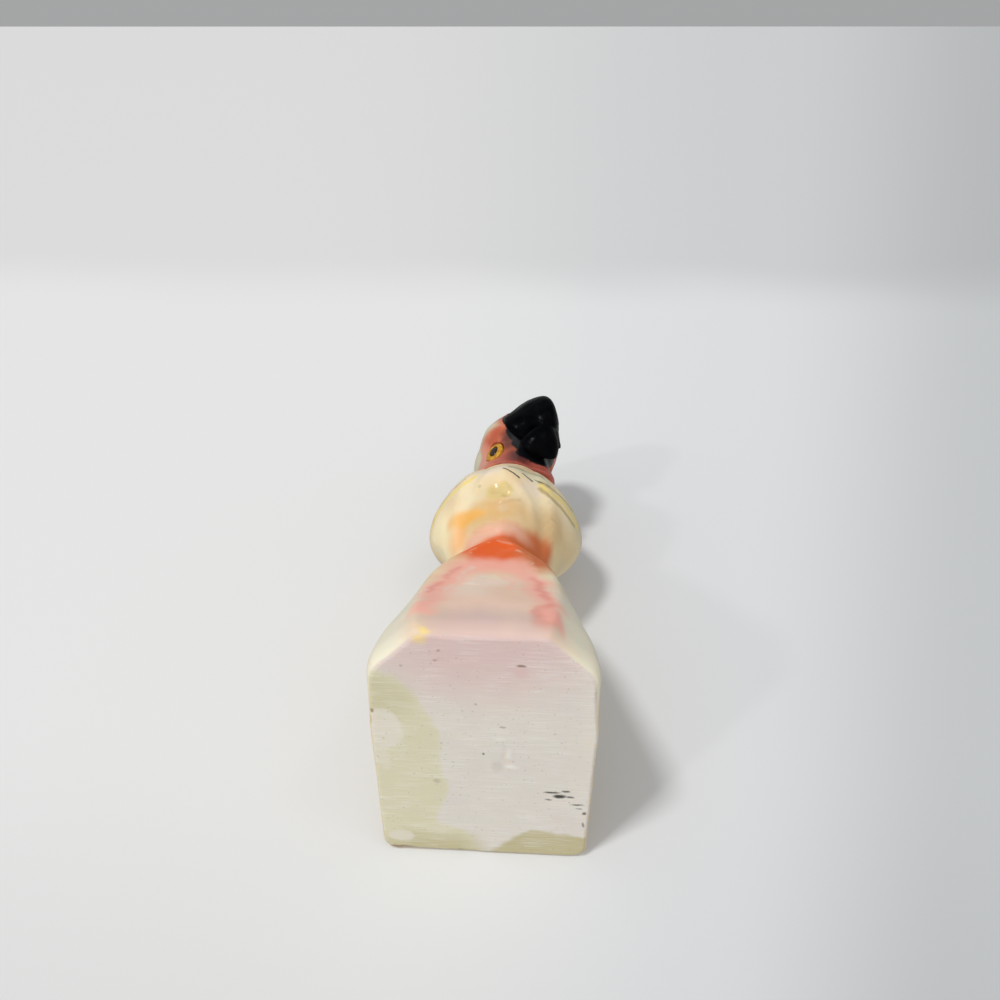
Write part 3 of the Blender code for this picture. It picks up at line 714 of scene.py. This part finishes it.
def make_onyx(name, strokes=(), underside=((), ())):
    """Cream onyx with veins through its whole depth, polished all over but for the sawn underside."""
    material, tree, shader, place = new_material(name)
    uneven = use_group(tree, WANDER, "Place", Place=place, Scale=120.0, Amount=0.0026)
    a_little = use_group(tree, WANDER, "Place", Place=place, Scale=420.0, Amount=0.0005)

    cloudy = noise(tree, uneven, 62.0, detail=1.5, distortion=0.6)
    colour = blend(tree, ramp(tree, cloudy, 0.35, 0.68), CREAM, PALE_CREAM)
    deep = noise(tree, place, 38.0, detail=2.0, distortion=1.2)
    colour = blend(tree, ramp(tree, deep, 0.50, 0.72, 0.0, 0.45), colour, GREEN_CREAM)
    veins = add_node(tree, "ShaderNodeAttribute", attribute_name="veins")
    bare = scale_by(tree, colour, maths(tree, "SUBTRACT", 1.0, veins.outputs["Alpha"]))
    colour = vector_maths(tree, "ADD", bare, veins.outputs["Color"])
    wisps = ramp(tree, noise(tree, place, 95.0, detail=1.5, distortion=0.8), 0.52, 0.72, 0.0, 0.12)
    colour = blend(tree, wisps, colour, PALE_CREAM)
    colour = paint_strokes(tree, colour, a_little, strokes)

    height = split_place(tree, place)["Z"]
    sawn = ramp(tree, height, *SAWN_EDGE, 1.0, 0.0)
    dulled = ramp(tree, height, *DULL_FOOT, 1.0, 0.0)
    saw = add_node(tree, "ShaderNodeGroup", node_tree=SAW_MARKS)
    feed(tree, saw.inputs["Place"], place)
    zones, marks = underside
    under = paint_patches(tree, blend(tree, cloudy, LILAC, CHALK), uneven, zones)
    clean_saw = ramp(tree, noise(tree, place, 110.0, detail=2.0), 0.35, 0.62, 0.08, 0.30)
    under = blend(tree, maths(tree, "MULTIPLY", saw.outputs["Shade"], clean_saw), under, SAW_LIGHT)
    # Painted shade: small dark specks for tiny pits in the sawn face
    pit_speck_shade = ramp(tree, noise(tree, place, 1300.0, detail=1.0), 0.68, 0.74, 0.0, 0.45)
    under = blend(tree, pit_speck_shade, under, PIT_SPECK_SHADE)
    under = paint_patches(tree, under, a_little, marks)
    colour = blend(tree, sawn, colour, under)

    feed(tree, shader.inputs["Base Color"], colour)
    grain = noise(tree, place, 900.0, detail=2.0)
    roughness = ramp(tree, grain, 0.3, 0.7, *POLISHED_ROUGHNESS)
    roughness = maths(tree, "MAXIMUM", roughness, maths(tree, "MULTIPLY", dulled, FOOT_ROUGHNESS))
    roughness = maths(tree, "MAXIMUM", roughness, maths(tree, "MULTIPLY", sawn, SAWN_ROUGHNESS))
    feed(tree, shader.inputs["Roughness"], roughness)
    shine = maths(tree, "MULTIPLY", maths(tree, "SUBTRACT", 1.0, dulled), POLISH_COAT)
    for middle, reach in GLOSSY_SPOTS:
        spot = patch_mask(tree, place, middle, reach, soft=0.6)
        shine = maths(tree, "MAXIMUM", shine, maths(tree, "MULTIPLY", spot, SPOT_COAT))
    feed(tree, shader.inputs["Coat Weight"], shine)
    shader.inputs["Coat Roughness"].default_value = 0.12
    shader.inputs["IOR"].default_value = 1.48
    shader.inputs["Specular IOR Level"].default_value = 0.25
    set_inside_glow(shader, weight=0.30, spread=ONYX_SPREAD, depth=2.2 * MM)

    ground_marks = noise(tree, place, 260.0, detail=2.0)
    faint_marks = maths(tree, "MULTIPLY", ground_marks, 0.10)
    relief = add_node(tree, "ShaderNodeMix", data_type="FLOAT")
    feed(tree, relief.inputs[MIX_SHARE], sawn)
    for index, marks_height in zip(MIX_VALUES, (faint_marks, saw.outputs["Height"])):
        feed(tree, relief.inputs[index], marks_height)
    add_bump(tree, shader, relief.outputs[0], strength=0.5, depth=0.12 * MM)
    return material


# Colours of the head
RED_PAINT = (0.44, 0.095, 0.045)
CORAL_PAINT = (0.56, 0.165, 0.09)
PALE_CORAL = (0.74, 0.34, 0.24)
NAPE_STONE = (0.52, 0.48, 0.36)
THROAT_RED = (0.32, 0.07, 0.055)
THROAT_PINK = (0.52, 0.19, 0.15)
BLACK_PAINT = (0.004, 0.0045, 0.006)
THIN_BLACK = (0.045, 0.022, 0.022)

# Smudges and runs of the beak's black over the face, and the throat's reds. Listed as the stone's patches are
HEAD_PATCHES = [
    ((-0.6, -13.2, 129.5), (2.8, 3.0, 5.4), 0.60, THIN_BLACK, 0.80),
    ((4.0, -10.4, 122.6), (4.4, 3.0, 3.0), 0.60, THIN_BLACK, 0.85),
    ((13.0, -1.5, 123.5), (4.5, 5.0, 5.0), 0.50, THROAT_RED, 0.70),
    ((0.4, -15.2, 131.8), (2.5, 2.8, 4.0), 0.15, BLACK_PAINT, 1.00),
    ((2.9, -13.2, 127.9), (2.7, 3.0, 3.2), 0.15, BLACK_PAINT, 1.00),
    ((5.6, -10.8, 124.9), (3.6, 3.2, 2.6), 0.15, BLACK_PAINT, 1.00),
    ((10.0, -8.5, 125.4), (4.6, 4.4, 3.1), 0.18, BLACK_PAINT, 1.00),
    ((13.6, -5.6, 129.8), (2.6, 3.0, 4.6), 0.20, BLACK_PAINT, 1.00),
    ((14.5, 1.0, 120.5), (4.0, 5.0, 3.2), 0.50, THROAT_PINK, 0.80),
]


def make_head_paint():
    """Red paint over the face that thins to bare stone at the nape, with the beak's black run over it."""
    material, tree, shader, place = new_material("red_head_painted")
    uneven = use_group(tree, WANDER, "Place", Place=place, Scale=260.0, Amount=0.0010)
    from_axis = vector_maths(tree, "SUBTRACT", uneven, tuple(NECK_AXIS))
    forward = vector_maths(tree, "DOT_PRODUCT", from_axis, tuple(FACE_WAY), out="Value")
    high = split_place(tree, from_axis)["Z"]

    streaks = noise(tree, uneven, 190.0, detail=3.0, distortion=0.8)
    paint = blend(tree, ramp(tree, streaks, 0.35, 0.70), RED_PAINT, CORAL_PAINT)
    in_front = ramp(tree, forward, 9 * MM, 13 * MM)
    brow = maths(tree, "MULTIPLY", in_front, ramp(tree, high, 15 * MM, 20 * MM))
    paint = blend(tree, maths(tree, "MULTIPLY", brow, 0.6), paint, CORAL_PAINT)
    side = ramp(tree, forward, 4 * MM, 9 * MM, 0.75, 0.0)
    paint = blend(tree, side, paint, PALE_CORAL)
    low_down = ramp(tree, high, 4 * MM, 18 * MM, 3.5 * MM, 0.0)
    covered = ramp(tree, maths(tree, "ADD", forward, low_down), 0.8 * MM, 3.8 * MM)
    crown = ramp(tree, high, 16.5 * MM, 20.5 * MM, 1.0, 0.0)
    crown = maths(tree, "MAXIMUM", crown, ramp(tree, forward, 12 * MM, 16 * MM))
    covered = maths(tree, "MULTIPLY", covered, crown)
    colour = blend(tree, covered, blend(tree, streaks, NAPE_STONE, GREEN_CREAM), paint)
    low = ramp(tree, high, 4 * MM, 8 * MM, 1.0, 0.0)
    chin = maths(tree, "MULTIPLY", ramp(tree, forward, 8 * MM, 12 * MM), low)
    colour = blend(tree, maths(tree, "MULTIPLY", chin, 0.75), colour, THROAT_RED)
    smudge = paint_patches(tree, colour, uneven, HEAD_PATCHES)
    lower = ramp(tree, high, 5 * MM, 10.5 * MM, 2.4 * MM, 0.0)
    border = ramp(tree, maths(tree, "ADD", forward, lower), 15.8 * MM, 16.1 * MM)
    above_neck = ramp(tree, high, 2.6 * MM, 3.4 * MM)
    colour = blend(tree, maths(tree, "MULTIPLY", border, above_neck), smudge, BLACK_PAINT)

    feed(tree, shader.inputs["Base Color"], colour)
    feed(tree, shader.inputs["Roughness"], ramp(tree, streaks, 0.3, 0.7, 0.28, 0.42))
    feed(tree, shader.inputs["Coat Weight"], ramp(tree, forward, 0.0, 10 * MM, 0.10, 0.25))
    shader.inputs["Coat Roughness"].default_value = 0.10
    shader.inputs["Specular IOR Level"].default_value = 0.22
    set_inside_glow(shader, weight=0.12, spread=PAINT_SPREAD, depth=1.2 * MM)
    add_bump(tree, shader, streaks, strength=0.4, depth=0.15 * MM)
    return material


def make_enamel(name, dark, light, scale, roughness, coat, shine=0.22):
    """Thick brushed enamel, a little uneven in colour and gloss."""
    material, tree, shader, place = new_material(name)
    brushed = noise(tree, place, scale, detail=3.0, distortion=0.5)
    colour = blend(tree, ramp(tree, brushed, 0.35, 0.7), dark, light)
    feed(tree, shader.inputs["Base Color"], colour)
    feed(tree, shader.inputs["Roughness"], ramp(tree, brushed, 0.3, 0.7, roughness, roughness + 0.10))
    feed(tree, shader.inputs["Coat Weight"], ramp(tree, brushed, 0.2, 0.8, coat, coat * 0.7))
    shader.inputs["Coat Roughness"].default_value = 0.06
    shader.inputs["Specular IOR Level"].default_value = shine
    add_bump(tree, shader, brushed, strength=0.5, depth=0.20 * MM)
    return material


# Colours of the cement, the steel and the enamels
CEMENT_DARK = (0.66, 0.30, 0.22)
CEMENT_LIGHT = (0.80, 0.55, 0.48)
GLINT_WHITE = (0.92, 0.85, 0.80)
STEEL_DARK = (0.50, 0.51, 0.53)
STEEL_LIGHT = (0.62, 0.63, 0.65)
BEAK_DARK = (0.0008, 0.0010, 0.0015)
BEAK_LIGHT = (0.0016, 0.0018, 0.0024)
YELLOW_DARK = (0.44, 0.19, 0.010)
YELLOW_LIGHT = (0.64, 0.34, 0.03)
PUPIL_DARK = (0.012, 0.007, 0.005)
PUPIL_LIGHT = (0.04, 0.018, 0.007)


def make_cement():
    """Cement squeezed out of a joint: grainy, with glossy specks that are also painted near white as glints.
    """
    material, tree, shader, place = new_material("cement_bead")
    grains = noise(tree, place, 900.0, detail=3.0, roughness=0.7)
    sparkle = noise(tree, place, 2600.0, detail=1.0)
    colour = blend(tree, ramp(tree, grains, 0.35, 0.68), CEMENT_DARK, CEMENT_LIGHT)
    # Painted glints: the glossy specks are painted near white as well
    colour = blend(tree, ramp(tree, sparkle, 0.60, 0.70, 0.0, 0.8), colour, GLINT_WHITE)
    feed(tree, shader.inputs["Base Color"], colour)
    feed(tree, shader.inputs["Roughness"], ramp(tree, sparkle, 0.45, 0.65, 0.55, 0.15))
    add_bump(tree, shader, grains, strength=0.8, depth=0.3 * MM)
    return material


def make_rod_steel():
    """Drawn steel rod with fine lines along its length."""
    material, tree, shader, place = new_material("drawn_steel")
    lines = noise(tree, vector_maths(tree, "MULTIPLY", place, (4000.0, 4000.0, 60.0)), 1.0, detail=2.0)
    feed(tree, shader.inputs["Base Color"], blend(tree, lines, STEEL_DARK, STEEL_LIGHT))
    feed(tree, shader.inputs["Roughness"], ramp(tree, lines, 0.3, 0.7, 0.28, 0.45))
    shader.inputs["Metallic"].default_value = 1.0
    return material


PEDESTAL_ONYX = make_onyx("pedestal_onyx", underside=(UNDERSIDE_ZONES, UNDERSIDE_MARKS))
BIRD_ONYX = make_onyx("bird_onyx", strokes=WING_STROKES)
HEAD_PAINT = make_head_paint()
BEAK_ENAMEL = make_enamel(
    "black_beak_enamel", BEAK_DARK, BEAK_LIGHT, scale=420.0, roughness=0.20, coat=0.004, shine=0.022
)
EYE_ENAMEL = make_enamel(
    "yellow_eye_enamel", YELLOW_DARK, YELLOW_LIGHT, scale=700.0, roughness=0.30, coat=0.3
)
PUPIL_ENAMEL = make_enamel(
    "dark_pupil_enamel", PUPIL_DARK, PUPIL_LIGHT, scale=900.0, roughness=0.25, coat=0.3
)
CEMENT = make_cement()
STEEL = make_rod_steel()


# The front edge of the pedestal's foot is rounded by up to this much, this far up from the sawn face
FOOT_ROUNDING = 1.3 * MM
FOOT_HEIGHT = 5 * MM
FRONT_STARTS = -6 * MM
FRONT_GROWS_OVER = 12 * MM
FOOT_INSIDE = 20 * MM


def round_foot(piece):
    """Rounds the lowest edge of the front and its two corners, and leaves the back edge sharp."""
    for point in piece.data.vertices:
        if point.co.z < FOOT_HEIGHT:
            outward = Vector((point.co.x, point.co.y, 0))
            front = min(max((FRONT_STARTS - point.co.y) / FRONT_GROWS_OVER, 0.0), 1.0)
            rounding = FOOT_ROUNDING * front * (1 - point.co.z / FOOT_HEIGHT) ** 2
            point.co -= outward.normalized() * rounding * min(outward.length / FOOT_INSIDE, 1.0)


def finish_piece(piece, node, material):
    """Fits a piece to the frame: its box, its paint, the body it rides on and the node it replaces."""
    hold_flat(piece, *cad_box)
    piece.data.materials.clear()
    piece.data.materials.append(material)
    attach(piece, "root")
    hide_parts(node)


# Pedestal
pedestal = worn_copy("pedestal", "pedestal_stone", voxel=0.5 * MM, rounds=7)
lumps(pedestal, size=14 * MM, height=0.35 * MM)
rub(pedestal, CREST_RIGHT, reach=2.2, height=0.35)
rub(pedestal, CREST_LEFT, reach=2.0, height=0.25)
rub(pedestal, [(-3.6, -21.5, 34), (-4.5, -23.2, 28)], reach=2.6, height=0.30)
rub(pedestal, [(3.4, -3.6, 0), (5.0, -1, 0), (4.6, 2, 0), (6.3, 4.2, 0)], reach=1.2, height=-0.20)
round_foot(pedestal)
tint(pedestal, "veins", STONE_PATCHES_AND_HIGHLIGHTS, VEINS + CREST_HIGHLIGHTS, wander=0.8)
finish_piece(pedestal, "pedestal", PEDESTAL_ONYX)

# Bird with wings and tail
FACET_LEFT = [
    (-3.5, -19.9, 92.8),
    (-6, -18.7, 91),
    (-7.3, -17.6, 89.2),
    (-8.6, -16.1, 86.9),
    (-10.3, -14.5, 85.2),
    (-12.4, -13, 84),
]
FACET_RIGHT = [
    (1.5, -20.3, 89.6),
    (3.1, -19.5, 87.4),
    (4.6, -18.3, 85.4),
    (6.1, -17.1, 84),
    (7.9, -15.1, 81.7),
    (8.6, -13.1, 78.5),
    (9.4, -10.8, 76.4),
]
HOLLOW_LIP = [(-4.6, -17.6, 80.9), (-1.4, -17.4, 79.2), (2.6, -17.6, 81)]
SEAM_RIDGE = [(-9.8, -9.6, 75.2), (-5.6, -12.2, 72.4), (-1.4, -13.4, 70.2), (2.6, -13, 70.5), (6, -11, 71.6)]
SEAM_GROOVE = [(-9.4, -8.6, 72.8), (-4.6, -11.6, 69.6), (-0.4, -13, 67.4), (3.8, -11.6, 68.4)]
LEFT_WING_CUT = [
    (-22, -1, 91.2),
    (-19.4, -6.8, 91.3),
    (-16.6, -11, 91.2),
    (-13.6, -14.4, 90.2),
    (-10.4, -16.4, 90.4),
]
RIGHT_LOWER_CUT = [(10.9, -15.8, 88.6), (14.3, -13.1, 87.6), (18, -8.4, 88.3), (20.9, -3.2, 89.6)]
RIGHT_UPPER_CUT = [(10.4, -16.6, 92), (15.5, -12.6, 93.2), (20.4, -5.4, 95)]
bird = worn_copy("bird_body", "bird_stone", voxel=0.4 * MM, rounds=4)
lumps(bird, size=9 * MM, height=0.45 * MM)
press(bird, (-2.0, -18.4, 84.5), reach=7.5, push=(0, 0.7, 0.3))
press(bird, (-2.0, -15.4, 77.0), reach=7.0, push=(0, 0.5, 0.3))
rub(bird, FACET_LEFT, reach=2.0, height=0.24)
rub(bird, FACET_RIGHT, reach=2.2, height=0.20)
press(bird, (-2.0, -19.0, 84.0), reach=3.0, push=(0, 0.9, 0.5))
press(bird, (0.9, -18.2, 81.6), reach=2.0, push=(0, 0.7, 0.4))
rub(bird, HOLLOW_LIP, reach=1.4, height=0.35)
rub(bird, SEAM_RIDGE, reach=1.6, height=0.30)
rub(bird, SEAM_GROOVE, reach=1.4, height=-0.30)
rub(bird, LEFT_WING_CUT, reach=1.2, height=-0.08)
rub(bird, RIGHT_LOWER_CUT, reach=1.1, height=-0.07)
rub(bird, RIGHT_UPPER_CUT, reach=1.1, height=-0.06)
tint(bird, "veins", STONE_PATCHES_AND_HIGHLIGHTS, VEINS + WING_BANDS, wander=0.5)
finish_piece(bird, "bird_body", BIRD_ONYX)

# Head
head = worn_copy("head", "head_stone", voxel=0.35 * MM, rounds=4)
lumps(head, size=6 * MM, height=0.35 * MM)
press(head, (12.4, -5.2, 121.5), reach=7.5, push=(2.2, -1.2, 0.0))
press(head, (12.0, -1.5, 119.5), reach=6.5, push=(1.9, -0.2, 0.0))
press(head, (-6.0, -9.5, 139.0), reach=10.0, push=(-1.7, -1.3, 0.2))
finish_piece(head, "head", HEAD_PAINT)

# Beak under thick paint
beak = worn_copy("beak", "beak_painted", voxel=0.3 * MM, rounds=5)
apply_modifier(beak, "SMOOTH", factor=0.5, iterations=12)
lumps(beak, size=5.5 * MM, height=0.5 * MM, pattern_shift=13 * MM)
finish_piece(beak, "beak", BEAK_ENAMEL)

# Eyes. The left ring is set a little deeper, so that it doesn't show past the head in the photograph's view
for side in ("left", "right"):
    ring = worn_copy(side + "_eye_ring", side + "_eye_yellow", voxel=0.12 * MM, rounds=4)
    lumps(ring, size=1.5 * MM, height=0.15 * MM)
    if side == "left":
        press(ring, (12, -4, 130), reach=90, push=(-0.45, 0.12, 0))
    finish_piece(ring, side + "_eye_ring", EYE_ENAMEL)
    pupil = worn_copy(side + "_pupil", side + "_pupil_dark", voxel=0.10 * MM, rounds=4)
    lumps(pupil, size=1.2 * MM, height=0.12 * MM)
    finish_piece(pupil, side + "_pupil", PUPIL_ENAMEL)

# Cement beds. The head's paint runs over the one at the neck
for joint in ("waist", "neck"):
    bed = worn_copy(joint + "_cement", joint + "_cement_bead", voxel=0.16 * MM, rounds=1)
    lumps(bed, size=0.9 * MM, height=0.30 * MM)
    finish_piece(bed, joint + "_cement", CEMENT if joint == "waist" else HEAD_PAINT)

# Dowels stay as the CAD has them, with a drawn steel finish
for joint in ("waist", "neck"):
    for material_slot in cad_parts[joint + "_dowel"].material_slots:
        material_slot.material = STEEL


# Camera
level = Vector((-math.sin(CAMERA_YAW), 0, math.cos(CAMERA_YAW)))
ahead = math.cos(CAMERA_PITCH) * level + math.sin(CAMERA_PITCH) * Vector((0, 1, 0))
above = math.sin(CAMERA_PITCH) * level - math.cos(CAMERA_PITCH) * Vector((0, 1, 0))
beside = ahead.cross(above)
stand = Vector((0, BASE_BACK_EDGE, 0)) - CAMERA_BACK_OFF * level
stand += CAMERA_BESIDE * beside - CAMERA_HEIGHT * Vector((0, 1, 0))
lens = bpy.data.cameras.new("photo_camera")
lens.lens = LENS_MM
lens.sensor_width = SENSOR_MM
lens.clip_start = 5 * MM
lens.clip_end = 20.0
camera = bpy.data.objects.new("photo_camera", lens)
bpy.context.scene.collection.objects.link(camera)
turned = Matrix((beside, above, -ahead)).transposed().to_4x4()
camera.matrix_world = Matrix.Translation(stand) @ turned
bpy.context.scene.camera = camera


# Sheet and ground
SHEET_LEFT = (0.758, 0.758, 0.750)
SHEET_RIGHT = (0.690, 0.697, 0.708)
SHEET_FAR_RIGHT = (0.535, 0.548, 0.553)
SHEET_SIZE = 6.0

# The picture's columns run together this far below the base, so that X over the way from there is across it
COLUMNS_MEET = 237 * MM

# Painted shade on the sheet: it darkens from this far above the base, and on the camera's side of it
SHEET_FAR = (390 * MM, 500 * MM)
SHEET_NEAR = (-80 * MM, 40 * MM)


def make_sheet_material(name):
    """Pale matte card with painted shade: darker to the right, far off and on the camera's side. Its other
    side is clear, so that it hides nothing from other views.
    """
    material, tree, shader, place = new_material(name)
    surface = add_node(tree, "ShaderNodeNewGeometry")
    axes = split_place(tree, surface.outputs["Position"])
    across = maths(tree, "DIVIDE", axes["X"], maths(tree, "ADD", axes["Z"], COLUMNS_MEET))
    # Painted shade: the card darkens towards the right, where the light falls off
    colour = blend(tree, ramp(tree, across, -0.15, 0.25), SHEET_LEFT, SHEET_RIGHT)
    colour = blend(tree, ramp(tree, across, 0.22, 0.46), colour, SHEET_FAR_RIGHT)
    # Painted shade: darker far off, with a wavy border, and darker again towards the camera
    far_shade_wobble = noise(tree, place, 7.0, detail=1.0)
    far = maths(tree, "ADD", axes["Z"], maths(tree, "MULTIPLY", far_shade_wobble, 60 * MM))
    far_shade_level = ramp(tree, across, -0.3, 0.2, 0.915, 0.855)
    shade = ramp(tree, far, *SHEET_FAR, 1.0, far_shade_level)
    near = ramp(tree, axes["Z"], *SHEET_NEAR, 0.90, 1.0)
    shade = maths(tree, "MULTIPLY", shade, near)
    feed(tree, shader.inputs["Base Color"], scale_by(tree, colour, shade))
    shader.inputs["Roughness"].default_value = 0.8
    shader.inputs["Specular IOR Level"].default_value = 0.1
    clear = add_node(tree, "ShaderNodeBsdfTransparent")
    both = add_node(tree, "ShaderNodeMixShader")
    feed(tree, both.inputs[0], surface.outputs["Backfacing"])
    feed(tree, both.inputs[1], shader.outputs[0])
    feed(tree, both.inputs[2], clear.outputs[0])
    feed(tree, tree.nodes["Material Output"].inputs["Surface"], both.outputs[0])
    return material


def add_sheet(name, middle, facing):
    """A flat stage that only the camera sees: it takes shadows and gives none."""
    bpy.ops.object.select_all(action="DESELECT")
    bpy.ops.mesh.primitive_plane_add(size=SHEET_SIZE, location=middle)
    sheet = bpy.context.object
    sheet.name = name
    sheet.rotation_mode = "QUATERNION"
    sheet.rotation_quaternion = Vector(facing).to_track_quat("Z", "Y")
    sheet.data.materials.append(make_sheet_material(name + "_card"))
    sheet.visible_diffuse = False
    sheet.visible_shadow = False
    sheet.visible_glossy = False
    sheet.visible_transmission = False


# The sheet behind the back touches the base's back edge, and leans in by 6 mm over 104 mm of height
SHEET_LEAN = math.atan2(6, 104)
add_sheet("back_sheet", (0, BASE_BACK_EDGE, 0), (0, -math.cos(SHEET_LEAN), -math.sin(SHEET_LEAN)))
add_sheet("ground_sheet", (0, 0, -0.1 * MM), (0, 0, 1))


# Light
def add_sun(name, towards, energy, spread_deg):
    """Soft light from far away. towards points from the figurine to the light."""
    lamp = bpy.data.lights.new(name, "SUN")
    lamp.energy = energy
    lamp.angle = math.radians(spread_deg)
    sun = bpy.data.objects.new(name, lamp)
    sun.rotation_mode = "QUATERNION"
    sun.rotation_quaternion = Vector(towards).to_track_quat("Z", "Y")
    bpy.context.scene.collection.objects.link(sun)


add_sun("key_window", (-0.37, -0.88, -0.30), 1.40, 9)
add_sun("right_window", (0.43, -0.88, -0.20), 0.08, 10)
add_sun("low_left_lamp", (-0.60, -0.50, -0.62), 0.30, 4)

# The room is brighter on the camera's side, and a little brighter in front of the bird
FROM_BELOW = 0.92
FROM_ABOVE = 0.38
FROM_THE_FRONT = 0.06
world = bpy.data.worlds.new("studio")
bpy.context.scene.world = world
world.use_nodes = True
room = world.node_tree
heading = add_node(room, "ShaderNodeTexCoord").outputs["Generated"]
axes = split_place(room, heading)
strength = ramp(room, axes["Z"], -1.0, 0.2, FROM_BELOW, FROM_ABOVE)
strength = maths(room, "MULTIPLY_ADD", axes["Y"], -FROM_THE_FRONT, strength)
room.nodes["Background"].inputs["Color"].default_value = (0.98, 0.99, 1.0, 1.0)
feed(room, room.nodes["Background"].inputs["Strength"], strength)
bpy.context.scene.view_settings.view_transform = "Standard"
